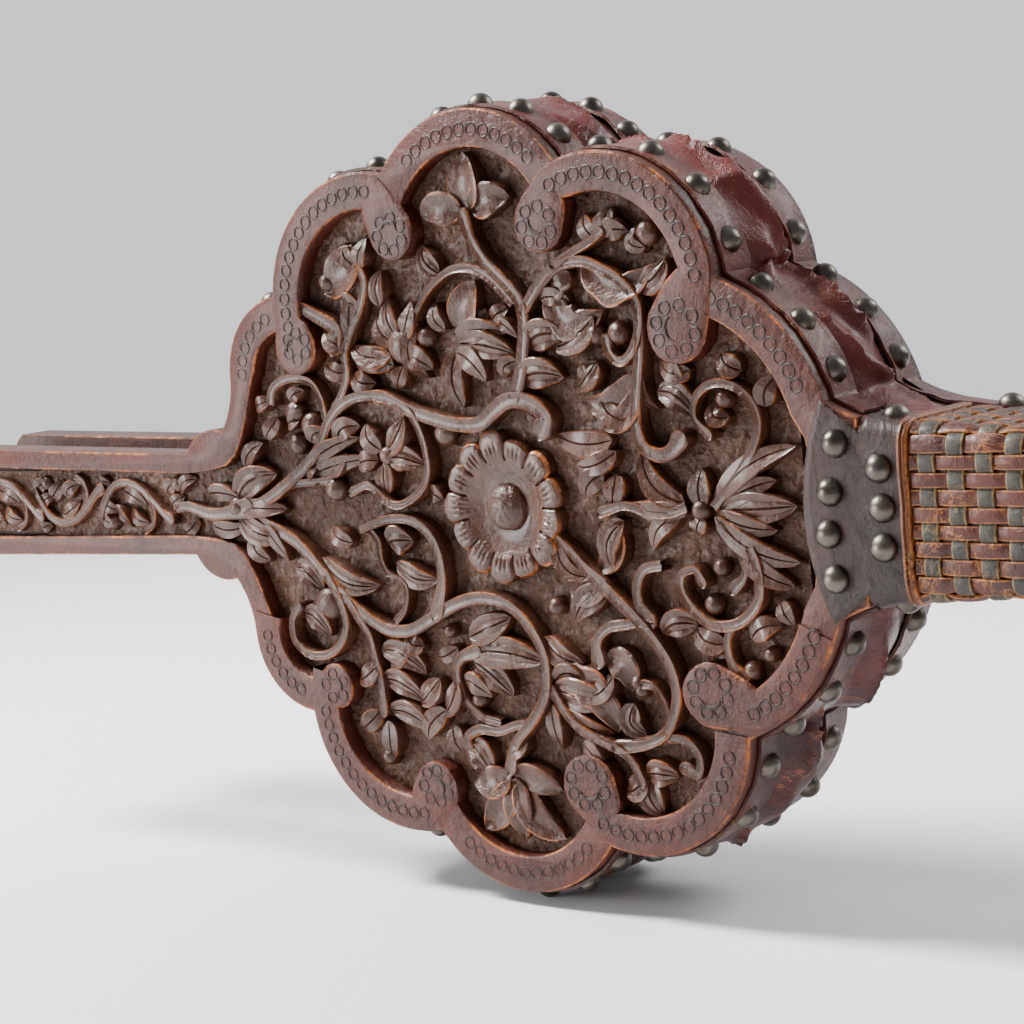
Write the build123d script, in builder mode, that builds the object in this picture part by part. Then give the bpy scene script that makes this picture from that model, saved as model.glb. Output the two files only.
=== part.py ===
from build123d import *
from math import atan2, cos, degrees, hypot, radians, sin
import os

# Hand bellows standing on edge. Two lobed wooden boards face each other across a leather
# gusset, each with its own handle; the carved front leaf swings on a leather hinge at the nose.
# X runs from the handles to the nozzle, Y from the carved face to the back, Z is up.
# The origin is the middle of the object's footprint, on the surface it stands on.
# Plan coordinates (x, z) below are measured from the rosette at the middle of the boards.

# ---------------------------------------------------------------- boards, seen from the front
half_width = 140.95          # rosette centre to the crown of the top lobe
half_length = 147.0          # rosette centre to the hinge line
# Each lobe: centre x as a share of half_length, centre z and radius as shares of half_width,
# and how many rim nails it carries.
lobes = (
    (-0.670, 0.351, 0.220, 2),
    (-0.370, 0.534, 0.340, 4),
    (-0.023, 0.658, 0.342, 5),
    (0.339, 0.523, 0.341, 4),
    (None, 0.126, 0.451, 3),     # its x follows from the sweep below
)
nose_sweep_angle = 16.0      # where the last lobe runs into the nose
sweep_setback = 11.66        # the sweep starts this far before the hinge line, whatever the lobe

board_thickness = 20.0
gap_between_boards = 26.0
handle_thickness = 17.0
handle_root_half = 20.2      # half the handle's height where it leaves the shoulder
handle_end_half = 23.7
handle_end_x = -330.0
handle_end_sag = 12.0        # how far the rounded end stands out
shoulder_length = 21.5       # the small scroll beside the handle's root
shoulder_rise = 9.0
shoulder_hollow = 7.5        # how far the concave sweep above the scroll runs in
body_thickness = 2 * board_thickness + gap_between_boards

# ---------------------------------------------------------------- carved face, kept simple
border_width = 14.0
field_depth = 7.4
rail_width = 7.5
panel_depth = 4.5
panel_margin = 14.0          # from the panel to the handle's end
rosette_radius = 27.7
rosette_height = 6.4
field_end_margin = 26.0      # carved field stops this far before the hinge

panel_past_lobe = 1.0        # the panel runs this far into the field, so that they join
rosette_dish_margin = 1.0    # the round cut over the rosette, beyond its edge

# ---------------------------------------------------------------- nose, neck and air channel
nose_reach = 18.0            # from the hinge line to the plaited cover
neck_length = 65.0
neck_start = half_length + nose_reach
neck_end = neck_start + neck_length
neck_start_half = 27.0
neck_end_half = 21.5
neck_corner = 6.0
channel_radius = 10.0

leather = 1.4                # strips and gusset
patch_leather = 1.6
patch_reach = 21.0           # how far the patch runs over the leaf, at the middle
patch_corner_reach = 12.5    # and at its top and bottom corners
patch_corner_half = 36.0
cover_thickness = 2.4
binding_thickness = 3.2
binding_width = 3.5
strip_width = 14.0
strip_from_face = 5.5

# ---------------------------------------------------------------- nozzle
flange_thickness = 3.0
flange_inset = 0.6
pipe_length = 112.0
pipe_root_radius = 17.0
pipe_tip_radius = 8.6
pipe_bore_radius = 6.5
pipe_land = 22.0             # straight stretch of the bore at the tip
spigot_length = 24.0
spigot_wall = 2.0
bead_radius = 2.0
pipe_collar = 4.0            # straight stretch of the pipe against the flange
flange_nail_radius = 3.2
flange_nail_height = 2.2
flange_nail_inset = 8.0      # from the flange's edges

# ---------------------------------------------------------------- intake and its valve
intake_radius = 23.0
intake_x = -20.0
valve_margin = 9.0           # flap beyond the hole all round
valve_leather = 1.6
valve_board_thickness = 2.6
valve_board_margin = 4.0
valve_strap_height = 16.0
valve_thong_width = 7.0
valve_thong_thickness = 1.4
valve_open_room = 1.0        # between the thong and the wide open flap
valve_open_angle = 16.0
rivet_radius = 2.2
rivet_height = 1.2
tack_radius = 3.0
tack_height = 1.6
valve_corner = 4.0
strap_corner = 3.0

# ---------------------------------------------------------------- ribs and nails
hoop_section = 6.0
hoop_inset = 7.0
hoop_pivot_back = 14.0       # hoop pivot, measured back from the hinge line
dome_radius = 4.7
dome_height = 4.0
shank_radius = 1.1
shank_length = 7.0
dome_sink = 0.3              # the rim is curved, the dome's foot is flat
wing_nail_setback = 9.5      # nail through each wing of the patch, before the cover
wing_nail_depth = 10.0
neck_nail_start = 0.4        # first neck nail, as a share of the step between them
neck_nail_count = 3

# ---------------------------------------------------------------- clearances
leaf_clearance = 0.4         # end of the front leaf to the head block
skin_clearance = 0.3
flap_clearance = 0.3
valve_hinge_gap = 0.8        # flap to its strap, where the leather folds
patch_gap = 1.4              # each half of the hinge patch stops this far from the hinge line
strip_end_gap = 0.01         # the back strip stops this far short of the neck's end
ring_opening_margin = 1.0    # the opening for the handle, beyond the lobe centres

# ---------------------------------------------------------------- places worked out
front_most = patch_leather + dome_height
front_y = -(body_thickness - front_most) / 2
centre_z = (lobes[2][1] + lobes[2][2]) * half_width + leather + dome_height - dome_sink
tip_x = neck_end + flange_thickness + pipe_length + bead_radius
centre_x = -(handle_end_x + tip_x) / 2
back_face = board_thickness + gap_between_boards
channel_depth = body_thickness / 2
patch_studs_leaf = ((-7.5, 22.5), (-10.5, 7.0), (-12.0, -6.5), (-10.5, -21.0))
patch_studs_head = ((7.5, 14.5), (8.0, 2.0), (7.5, -10.5))


def face_plane(depth):
    """Plan plane at a depth behind the carved face: local x is X, local y is Z."""
    return Plane(origin=(centre_x, front_y + depth, centre_z), x_dir=(1, 0, 0), z_dir=(0, -1, 0))


def cross_plane(x):
    """Plane across the bellows at x: local x is Y from the carved face, local y is Z."""
    return Plane(origin=(centre_x + x, front_y, centre_z), x_dir=(0, 1, 0), z_dir=(1, 0, 0))


def lobe_circle(index, grow):
    """Centre x, centre z and radius of one lobe of the upper half, grown outward."""
    x_share, z_share, r_share, nails = lobes[index]
    radius = r_share * half_width
    if x_share is None:
        x = half_length - sweep_setback - radius * cos(radians(nose_sweep_angle))
    else:
        x = x_share * half_length
    return x, z_share * half_width, radius + grow


def notch(index, grow):
    """Point where lobe index and the next one cross on the outside."""
    ax, az, ar = lobe_circle(index, grow)
    bx, bz, br = lobe_circle(index + 1, grow)
    apart = hypot(bx - ax, bz - az)
    along = (ar**2 - br**2 + apart**2) / (2 * apart)
    off = (ar**2 - along**2) ** 0.5
    ux, uz = (bx - ax) / apart, (bz - az) / apart
    return ax + along * ux - off * uz, az + along * uz + off * ux


def lobe_span(index, grow):
    """Start and end angle, in degrees, of the part of a lobe that is on the outline."""
    cx, cz, radius = lobe_circle(index, grow)
    start = 180.0
    end = nose_sweep_angle
    if index > 0:
        px, pz = notch(index - 1, grow)
        start = degrees(atan2(pz - cz, px - cx))
    if index < len(lobes) - 1:
        px, pz = notch(index, grow)
        end = degrees(atan2(pz - cz, px - cx))
    if start < end:
        start += 360.0
    return start, end


def lobe_point(index, angle, grow):
    cx, cz, radius = lobe_circle(index, grow)
    return cx + radius * cos(radians(angle)), cz + radius * sin(radians(angle))


def lobe_arcs(grow):
    """Draw the upper row of lobes, from the handle side to the nose."""
    for index in range(len(lobes)):
        start, end = lobe_span(index, grow)
        middle = (start + end) / 2
        ThreePointArc(*[lobe_point(index, angle, grow) for angle in (start, middle, end)])


def nose_lines(grow, end):
    """Draw the concave nose sweep and the tapering neck, closed off square at the end."""
    sweep_start = lobe_point(len(lobes) - 1, nose_sweep_angle, grow)
    corner = (neck_start, neck_start_half + grow)
    TangentArc(corner, sweep_start, tangent=(neck_start - neck_end, neck_start_half - neck_end_half))
    Polyline(corner, (end, neck_half(end) + grow), (end, 0))


def neck_half(x):
    share = (x - neck_start) / (neck_end - neck_start)
    return neck_start_half + (neck_end_half - neck_start_half) * share


def shoulder_lines():
    """Draw the handle's rounded end, its edge, the small scroll and the hollow above it."""
    top = lobe_point(0, 180.0, 0)
    scroll_end = (top[0] - shoulder_hollow, handle_root_half + shoulder_rise)
    root = (scroll_end[0] - shoulder_length, handle_root_half)
    corner = (handle_end_x + handle_end_sag, handle_end_half)
    end_half = handle_end_half / 2
    end_middle_x = handle_end_x + handle_end_sag / 4
    ThreePointArc((handle_end_x, 0), (end_middle_x, end_half), corner)
    Line(corner, root)
    ThreePointArc(root, (root[0] + shoulder_length / 2, scroll_end[1]), scroll_end)
    hollow_middle = (top[0] - shoulder_hollow / 4, (top[1] + scroll_end[1]) / 2)
    ThreePointArc(scroll_end, hollow_middle, top)


def board_plan():
    """Whole plan of a board with its handle and nose."""
    with BuildSketch() as plan:
        with BuildLine():
            shoulder_lines()
            lobe_arcs(0)
            nose_lines(0, neck_end)
            mirror(about=Plane.XZ)
        make_face()
    return plan.sketch


def chamber_plan(grow):
    """Plan of the air chamber: the lobes and the nose, closed straight behind the handle."""
    with BuildSketch() as plan:
        with BuildLine():
            back = lobe_point(0, 180.0, grow)
            Line((back[0], 0), back)
            lobe_arcs(grow)
            nose_lines(grow, neck_end)
            mirror(about=Plane.XZ)
        make_face()
    return plan.sketch


def inner_plan(inset):
    """Plan well inside the lobes: their circles made smaller, and all that lies between them."""
    centres = [lobe_point(0, 180.0, -inset)]
    centres += [lobe_circle(index, 0)[:2] for index in range(len(lobes))]
    mirrored = [(x, -z) for x, z in reversed(centres)]
    with BuildSketch() as plan:
        with BuildLine():
            Polyline(*centres, *mirrored, close=True)
        make_face()
        for index in range(len(lobes)):
            x, z, radius = lobe_circle(index, -inset)
            with Locations((x, z), (x, -z)):
                Circle(radius)
    return plan.sketch


def neck_solid(grow, start, end):
    """Head block shape, grown outward, with its two long front corners rounded."""
    with BuildPart() as solid:
        with BuildSketch(face_plane(back_face)):
            add(chamber_plan(grow))
        extrude(amount=back_face + grow)
        with BuildSketch(face_plane(back_face)):
            with Locations(((start + end) / 2, 0)):
                Rectangle(end - start, 2 * half_width)
        extrude(amount=back_face + grow, mode=Mode.INTERSECT)
        front_edges = solid.edges().group_by(Axis.Y)[0]
        fillet(front_edges.filter_by(Axis.Z, reverse=True), neck_corner + grow)
    return solid.part


def outside_plane(index, angle, depth, lower):
    """Plane standing on the rim strip at an angle of a lobe, facing outward."""
    x, z = lobe_point(index, angle, leather - dome_sink)
    side = -1 if lower else 1
    outward = (cos(radians(angle)), 0, side * sin(radians(angle)))
    place = (centre_x + x, front_y + depth, centre_z + side * z)
    return Plane(origin=place, x_dir=(0, 1, 0), z_dir=outward)


def rim_planes(depth):
    """One plane for each nail round a board's rim."""
    planes = []
    for lower in (False, True):
        for index, lobe in enumerate(lobes):
            start, end = lobe_span(index, leather)
            step = (end - start) / lobe[3]
            for nail in range(lobe[3]):
                planes.append(outside_plane(index, start + (nail + 0.5) * step, depth, lower))
    return planes


def face_planes(places):
    """Planes on the hinge patch, facing forward, for nails placed from the hinge line."""
    planes = []
    for x, z in places:
        place = (centre_x + half_length + x, front_y - patch_leather, centre_z + z)
        planes.append(Plane(origin=place, x_dir=(1, 0, 0), z_dir=(0, -1, 0)))
    return planes


def side_planes(places, grow):
    """Planes on the top and bottom of the neck for nails at (x, depth)."""
    slope = (neck_start_half - neck_end_half) / (neck_end - neck_start)
    planes = []
    for side in (-1, 1):
        for x, depth in places:
            height = neck_half(x) + grow
            place = (centre_x + x, front_y + depth, centre_z + side * height)
            planes.append(Plane(origin=place, x_dir=(0, 1, 0), z_dir=(slope, 0, side)))
    return planes


def dome_nail(radius, height, shank):
    """Domed nail on the XY plane: the head above it, the shank below."""
    with BuildPart() as nail:
        with BuildSketch(Plane.XZ):
            with BuildLine():
                RadiusArc((0, height), (radius, 0), (radius**2 + height**2) / (2 * height))
                Polyline((radius, 0), (shank_radius, 0), (shank_radius, -shank), (0, -shank), (0, height))
            make_face()
        revolve(axis=Axis.Z)
    return nail.part


def finish(part, name):
    part.label = name
    export_step(part, f"parts/{name}.step")


os.makedirs("parts", exist_ok=True)
scroll_root_x = lobe_point(0, 180.0, 0)[0] - shoulder_hollow - shoulder_length
chamber_back_x = lobe_point(0, 180.0, 0)[0]
rim_nail = dome_nail(dome_radius, dome_height, shank_length)

# ================================================================ back board
with BuildPart() as back_board:
    with BuildSketch(face_plane(body_thickness)):
        add(board_plan())
    extrude(amount=board_thickness)
    handle_relief = board_thickness - handle_thickness
    relief_end = scroll_root_x + shoulder_length / 2
    with BuildSketch(face_plane(back_face + handle_relief)):
        with Locations(((handle_end_x + relief_end) / 2, 0)):
            Rectangle(relief_end - handle_end_x + 2, 3 * handle_end_half)
    extrude(amount=handle_relief, mode=Mode.SUBTRACT)
    with BuildSketch(face_plane(body_thickness)):
        with Locations((intake_x, 0)):
            Circle(intake_radius)
    extrude(amount=board_thickness, mode=Mode.SUBTRACT)
finish(back_board.part, "back_board")

# ================================================================ front board
leaf_end = half_length - leaf_clearance
with BuildPart() as front_board:
    with BuildSketch(face_plane(board_thickness)):
        add(board_plan())
    extrude(amount=board_thickness)
    with BuildSketch(face_plane(board_thickness)):
        with Locations((leaf_end + neck_end / 2, 0)):
            Rectangle(neck_end, 2 * half_width)
    extrude(amount=board_thickness, mode=Mode.SUBTRACT)
    with BuildSketch(face_plane(board_thickness)):
        with Locations(((handle_end_x + relief_end) / 2, 0)):
            Rectangle(relief_end - handle_end_x + 2, 3 * handle_end_half)
    extrude(amount=board_thickness - handle_thickness, mode=Mode.SUBTRACT)
    with BuildSketch(face_plane(0)):
        add(inner_plan(border_width))
        with Locations((half_length - field_end_margin + neck_end / 2, 0)):
            Rectangle(neck_end, 2 * half_width, mode=Mode.SUBTRACT)
        with Locations((0, 0)):
            Circle(rosette_radius, mode=Mode.SUBTRACT)
    extrude(amount=-field_depth, mode=Mode.SUBTRACT)
    panel_start = handle_end_x + panel_margin
    panel_end = chamber_back_x + border_width + panel_past_lobe
    with BuildSketch(face_plane(0)):
        with Locations(((panel_start + panel_end) / 2, 0)):
            Rectangle(panel_end - panel_start, 2 * (handle_root_half - rail_width))
    extrude(amount=-panel_depth, mode=Mode.SUBTRACT)
    with BuildSketch(face_plane(field_depth - rosette_height)):
        Circle(rosette_radius + rosette_dish_margin)
    extrude(amount=field_depth, mode=Mode.SUBTRACT)
finish(front_board.part, "front_board")

# ================================================================ head block with its channel
with BuildPart() as head_block:
    add(neck_solid(0, half_length, neck_end))
    with BuildSketch(cross_plane(half_length)):
        with Locations((channel_depth, 0)):
            Circle(channel_radius)
    extrude(amount=neck_end - half_length, mode=Mode.SUBTRACT)
finish(head_block.part, "head_block")


# ================================================================ leather wraps of the neck
def neck_wrap(name, grow, start, end, depth):
    """Leather wrapped over the head block's front, top and bottom, down to a depth."""
    with BuildPart() as wrap:
        add(neck_solid(grow, start, end))
        add(neck_solid(0, start, end), mode=Mode.SUBTRACT)
        with BuildSketch(face_plane(depth)):
            with Locations(((start + end) / 2, 0)):
                Rectangle(end - start, 2 * half_width)
        extrude(amount=depth + grow, mode=Mode.INTERSECT)
    finish(wrap.part, name)


rear_binding_start = neck_start - binding_width
nose_binding_start = neck_end - binding_width
cover_edge = body_thickness - strip_from_face - strip_width - skin_clearance
skin_start = board_thickness + skin_clearance
neck_wrap("plaited_cover", cover_thickness, neck_start, nose_binding_start, cover_edge)
neck_wrap("cover_binding_rear", binding_thickness, rear_binding_start, neck_start, cover_edge)
neck_wrap("cover_binding_nose", binding_thickness, nose_binding_start, neck_end, cover_edge)
neck_wrap("hinge_patch_head", patch_leather, half_length + patch_gap, rear_binding_start, skin_start)

# ================================================================ hinge patch on the leaf
patch_edge_x = half_length - patch_reach
patch_corner_x = half_length - patch_corner_reach
with BuildPart() as hinge_patch_leaf:
    with BuildSketch(face_plane(0)):
        add(chamber_plan(0))
        with BuildLine():
            low = (patch_corner_x, -patch_corner_half)
            high = (patch_corner_x, patch_corner_half)
            ThreePointArc(low, (patch_edge_x, 0), high)
            end_x = half_length - patch_gap
            Polyline(high, (end_x, patch_corner_half), (end_x, -patch_corner_half), low)
        make_face(mode=Mode.INTERSECT)
    extrude(amount=patch_leather)
finish(hinge_patch_leaf.part, "hinge_patch_leaf")


# ================================================================ rim strips and the gusset
def leather_ring(depth, width, end, back_closed):
    """Band of leather round the lobes, from a depth behind the carved face."""
    with BuildPart() as ring:
        with BuildSketch(face_plane(depth + width)):
            add(chamber_plan(leather))
            add(chamber_plan(0), mode=Mode.SUBTRACT)
        extrude(amount=width)
        with BuildSketch(face_plane(depth + width)):
            with Locations((end + neck_end / 2, 0)):
                Rectangle(neck_end, 2 * half_width)
            if not back_closed:
                with Locations((chamber_back_x - leather, 0)):
                    Rectangle(2 * neck_start_half, 2 * (lobe_circle(0, 0)[1] + ring_opening_margin))
        extrude(amount=width, mode=Mode.SUBTRACT)
    return ring.part


finish(leather_ring(strip_from_face, strip_width, leaf_end, False), "front_strip")
back_strip_depth = body_thickness - strip_from_face - strip_width
finish(leather_ring(back_strip_depth, strip_width, neck_end - strip_end_gap, False), "back_strip")
skin_width = gap_between_boards - skin_clearance
finish(leather_ring(skin_start, skin_width, rear_binding_start, True), "leather_gusset")

# ================================================================ nails
for name, depth in (("front_rim_nails", strip_from_face + strip_width / 2),
                    ("back_rim_nails", back_strip_depth + strip_width / 2)):
    with BuildPart() as rim_nails:
        with Locations(*rim_planes(depth)):
            add(rim_nail)
    finish(rim_nails.part, name)

for name, places in (("patch_nails_leaf", patch_studs_leaf), ("patch_nails_head", patch_studs_head)):
    with BuildPart() as patch_nails:
        with Locations(*face_planes(places)):
            add(rim_nail)
    finish(patch_nails.part, name)

strip_nail_depth = back_strip_depth + strip_width / 2
neck_nail_step = (neck_end - neck_start) / neck_nail_count
neck_places = []
for nail in range(neck_nail_count):
    neck_places.append((neck_start + (nail + neck_nail_start) * neck_nail_step, strip_nail_depth))
with BuildPart() as neck_nails:
    with Locations(*side_planes(neck_places, leather)):
        add(rim_nail)
finish(neck_nails.part, "neck_nails")

wing_places = ((neck_start - wing_nail_setback, wing_nail_depth),)
with BuildPart() as wing_nails:
    with Locations(*side_planes(wing_places, patch_leather)):
        add(rim_nail)
finish(wing_nails.part, "patch_wing_nails")

# ================================================================ nozzle
flange_half = neck_end_half - flange_inset
flange_height = body_thickness - 2 * flange_inset
with BuildPart() as nozzle_flange:
    with BuildSketch(cross_plane(neck_end)):
        with Locations((channel_depth, 0)):
            RectangleRounded(flange_height, 2 * flange_half, neck_corner)
            Circle(channel_radius, mode=Mode.SUBTRACT)
    extrude(amount=flange_thickness)
finish(nozzle_flange.part, "nozzle_flange")

pipe_root_x = neck_end + flange_thickness
pipe_end_x = pipe_root_x + pipe_length
pipe_plane = Plane(origin=(centre_x, front_y + channel_depth, centre_z), x_dir=(1, 0, 0),
                   z_dir=(0, -1, 0))
pipe_axis = Axis((centre_x, front_y + channel_depth, centre_z), (1, 0, 0))
with BuildPart() as nozzle_pipe:
    with BuildSketch(pipe_plane):
        with BuildLine():
            spigot_x = neck_end - spigot_length
            spigot_bore = channel_radius - spigot_wall
            Polyline(
                (spigot_x, spigot_bore),
                (spigot_x, channel_radius),
                (pipe_root_x, channel_radius),
                (pipe_root_x, pipe_root_radius),
                (pipe_root_x + pipe_collar, pipe_root_radius),
                (pipe_end_x, pipe_tip_radius),
                (pipe_end_x, pipe_bore_radius),
                (pipe_end_x - pipe_land, pipe_bore_radius),
                (pipe_root_x, spigot_bore),
                close=True,
            )
        make_face()
    revolve(axis=pipe_axis)
finish(nozzle_pipe.part, "nozzle_pipe")

with BuildPart() as nozzle_bead:
    with BuildSketch(pipe_plane):
        with BuildLine():
            bead_top = pipe_tip_radius + bead_radius
            bead_end = pipe_end_x + bead_radius
            RadiusArc((pipe_end_x, bead_top), (bead_end, pipe_tip_radius), bead_radius)
            Polyline((bead_end, pipe_tip_radius), (bead_end, pipe_bore_radius),
                     (pipe_end_x, pipe_bore_radius), (pipe_end_x, bead_top))
        make_face()
    revolve(axis=pipe_axis)
finish(nozzle_bead.part, "nozzle_bead")

flange_nail = dome_nail(flange_nail_radius, flange_nail_height, shank_length)
nail_spread = flange_height - 2 * flange_nail_inset
nail_rise = 2 * (flange_half - flange_nail_inset)
with BuildPart(cross_plane(pipe_root_x)) as flange_nails:
    with Locations((channel_depth, 0)):
        with GridLocations(nail_spread, nail_rise, 2, 2):
            add(flange_nail)
finish(flange_nails.part, "flange_nails")

# ================================================================ intake valve, inside the back board
seat_depth = back_face
flap_back = seat_depth - flap_clearance
flap_half = intake_radius + valve_margin
board_half = flap_half - valve_board_margin
with BuildPart() as valve_flap:
    with BuildSketch(face_plane(flap_back)):
        with Locations((intake_x, 0)):
            RectangleRounded(2 * flap_half, 2 * flap_half, valve_corner)
    extrude(amount=valve_leather)
finish(valve_flap.part, "valve_flap")

with BuildPart() as valve_board:
    with BuildSketch(face_plane(flap_back - valve_leather)):
        with Locations((intake_x, 0)):
            RectangleRounded(2 * board_half, 2 * board_half, valve_corner)
    extrude(amount=valve_board_thickness)
finish(valve_board.part, "valve_board")

with BuildPart() as valve_rivets:
    with BuildSketch(face_plane(flap_back - valve_leather - valve_board_thickness)):
        with Locations((intake_x, 0)):
            with GridLocations(board_half, board_half, 2, 2):
                Circle(rivet_radius)
    extrude(amount=rivet_height)
finish(valve_rivets.part, "valve_rivets")

strap_middle = flap_half + valve_hinge_gap + valve_strap_height / 2
with BuildPart() as valve_strap:
    with BuildSketch(face_plane(seat_depth)):
        with Locations((intake_x, strap_middle)):
            RectangleRounded(2 * flap_half, valve_strap_height, strap_corner)
    extrude(amount=valve_leather)
finish(valve_strap.part, "valve_strap")

with BuildPart(face_plane(seat_depth - valve_leather)) as valve_tacks:
    with Locations((intake_x, strap_middle)):
        with GridLocations(0.6 * flap_half, 1, 3, 1):
            add(dome_nail(tack_radius, tack_height, shank_length))
finish(valve_tacks.part, "valve_tacks")

valve_stack = valve_leather + valve_board_thickness + rivet_height
thong_leg = flap_half + valve_thong_width
flap_swing = 2 * flap_half * sin(radians(valve_open_angle))
thong_depth = seat_depth - 0.5 * flap_swing - valve_stack - valve_open_room
with BuildPart() as valve_thong:
    for side in (-1, 1):
        foot_x = intake_x + side * thong_leg
        with BuildSketch(face_plane(seat_depth)):
            with Locations((foot_x, 0)):
                Rectangle(valve_thong_thickness, valve_thong_width)
        extrude(amount=seat_depth - thong_depth)
    with BuildSketch(face_plane(thong_depth)):
        with Locations((intake_x, 0)):
            Rectangle(2 * thong_leg + valve_thong_thickness, valve_thong_width)
    extrude(amount=valve_thong_thickness)
    for side in (-1, 1):
        with BuildSketch(face_plane(seat_depth)):
            with Locations((intake_x + side * (thong_leg + valve_thong_width / 2), 0)):
                Rectangle(valve_thong_width, valve_thong_width)
        extrude(amount=valve_thong_thickness)
finish(valve_thong.part, "valve_thong")

# ================================================================ rib hoop inside the gusset
hoop_depth = channel_depth + hoop_section / 2
hoop_end = half_length - hoop_pivot_back
with BuildPart() as rib_hoop:
    with BuildSketch(face_plane(hoop_depth)):
        add(chamber_plan(-hoop_inset))
        add(inner_plan(hoop_inset + hoop_section), mode=Mode.SUBTRACT)
    extrude(amount=hoop_section)
    with BuildSketch(face_plane(hoop_depth)):
        with Locations((hoop_end + neck_end / 2, 0)):
            Rectangle(neck_end, 2 * half_width)
    extrude(amount=hoop_section, mode=Mode.SUBTRACT)
finish(rib_hoop.part, "rib_hoop")
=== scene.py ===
# %% [markdown]
# # Carved hand bellows, standing on edge
# Two lobed wooden boards with flat handles face each other across a leather gusset. The front
# board is carved all over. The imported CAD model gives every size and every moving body; this
# script dresses it. Each cell below models one piece or one finish.

# %% Load the fixed frame
from math import atan2, ceil, cos, degrees, hypot, pi, radians, sin

import bpy
import numpy as np
from mathutils import Matrix, Vector, noise


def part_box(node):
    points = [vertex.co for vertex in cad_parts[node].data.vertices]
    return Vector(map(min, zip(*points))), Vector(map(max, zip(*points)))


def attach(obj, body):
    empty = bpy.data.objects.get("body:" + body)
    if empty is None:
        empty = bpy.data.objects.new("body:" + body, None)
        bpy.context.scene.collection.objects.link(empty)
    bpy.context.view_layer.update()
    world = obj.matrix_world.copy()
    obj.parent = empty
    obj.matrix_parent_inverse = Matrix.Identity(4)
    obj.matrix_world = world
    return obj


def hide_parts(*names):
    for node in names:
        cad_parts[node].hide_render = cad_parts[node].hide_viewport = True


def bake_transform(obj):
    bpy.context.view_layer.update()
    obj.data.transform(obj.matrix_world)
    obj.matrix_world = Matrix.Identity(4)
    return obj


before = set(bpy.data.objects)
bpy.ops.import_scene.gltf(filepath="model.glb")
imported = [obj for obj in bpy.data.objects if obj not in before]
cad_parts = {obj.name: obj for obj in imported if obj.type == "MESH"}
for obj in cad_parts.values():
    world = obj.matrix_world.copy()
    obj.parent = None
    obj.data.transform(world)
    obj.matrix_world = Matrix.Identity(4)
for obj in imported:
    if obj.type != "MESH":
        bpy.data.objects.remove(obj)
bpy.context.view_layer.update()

# %% [markdown]
# ## The carver's bench
# A carver lays the board flat and works down from its face. The same is done here: pieces are
# modelled in millimetres with X along the board, Y across it and Z up out of the carved face,
# measured from the rosette. Z is 0 on the border and negative down in the ground. One matrix then
# stands the finished piece up in the CAD frame; its place comes from the CAD boxes. The head block
# runs from HEAD_X to NOSE_X and narrows from one half height to the other.

# %% From the bench to the frame
HINGE = 147.0
GROUND = -7.4
SUNK = GROUND - 1.7
RIBBON_FOOT = -9.2
BORDER_MIDDLE = 7.2
HEAD_X, HEAD_HALF = 165.0, 27.0
NOSE_X, NOSE_HALF = 230.0, 21.5
board_low, board_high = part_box("front_board")
hinge_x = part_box("head_block")[0].x
face_y = board_low.y
middle_z = (board_low.z + board_high.z) / 2
rosette = Vector((hinge_x - HINGE / 1000, face_y, middle_z))
stand_up = Matrix.Rotation(radians(90), 4, "X")
bench_to_frame = Matrix.Translation(rosette) @ stand_up @ Matrix.Scale(0.001, 4)
print("rosette centre in the frame", [round(v, 4) for v in rosette])


def only(*objects):
    """Select these objects and nothing else; the first is the active one."""
    bpy.ops.object.select_all(action="DESELECT")
    for obj in objects:
        obj.select_set(True)
    bpy.context.view_layer.objects.active = objects[0]


def joined(name, objects):
    """Join several meshes into one piece."""
    only(*objects)
    if len(objects) > 1:
        bpy.ops.object.join()
    piece = bpy.context.object
    piece.name = name
    return piece


def place(piece, name, body, slot, *materials, smooth=38.0):
    """Stand a bench piece up in the frame, smooth it, paint it and let it ride on its body."""
    only(piece)
    bpy.ops.object.transform_apply(location=True, rotation=True, scale=True)
    piece.name = name
    piece.data.transform(bench_to_frame)
    bpy.ops.object.shade_smooth_by_angle(angle=radians(smooth))
    if materials:
        piece.data.materials.clear()
        for material in materials:
            piece.data.materials.append(material)
    if body:
        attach(piece, body)
    triangles = sum(len(p.vertices) - 2 for p in piece.data.polygons)
    print(name, triangles, "triangles")
    return piece


def add_wear(piece, values=None):
    """Add the face attribute that the finishes read as rubbed edges, zero without values."""
    wear = piece.data.attributes.new("wear", "FLOAT", "FACE")
    if values is not None:
        wear.data.foreach_set("value", values)


def merged(piece, distance, outward=False):
    """Merge points closer than a distance and, if asked, turn all faces outward."""
    only(piece)
    bpy.ops.object.mode_set(mode="EDIT")
    bpy.ops.mesh.select_all(action="SELECT")
    bpy.ops.mesh.remove_doubles(threshold=distance)
    if outward:
        bpy.ops.mesh.normals_make_consistent(inside=False)
    bpy.ops.object.mode_set(mode="OBJECT")


def thicken(piece, thickness, rim=1):
    """Give a sheet its thickness, downward; rim is the slot of its cut edges."""
    only(piece)
    solid = piece.modifiers.new("thickness", "SOLIDIFY")
    solid.thickness = thickness
    solid.offset = -1.0
    solid.material_offset_rim = rim
    bpy.ops.object.modifier_apply(modifier="thickness")


def flip_over(half):
    """Mirror an upper half into the lower one."""
    half.scale = (1, -1, 1)
    only(half)
    bpy.ops.object.transform_apply(scale=True)
    half.data.flip_normals()


# %% [markdown]
# ## Sums with shader sockets
# A pattern is arithmetic on noise, so a socket is wrapped in a small class whose operators add
# Math nodes. `node` adds any other node: its settings first, then its inputs.

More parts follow.
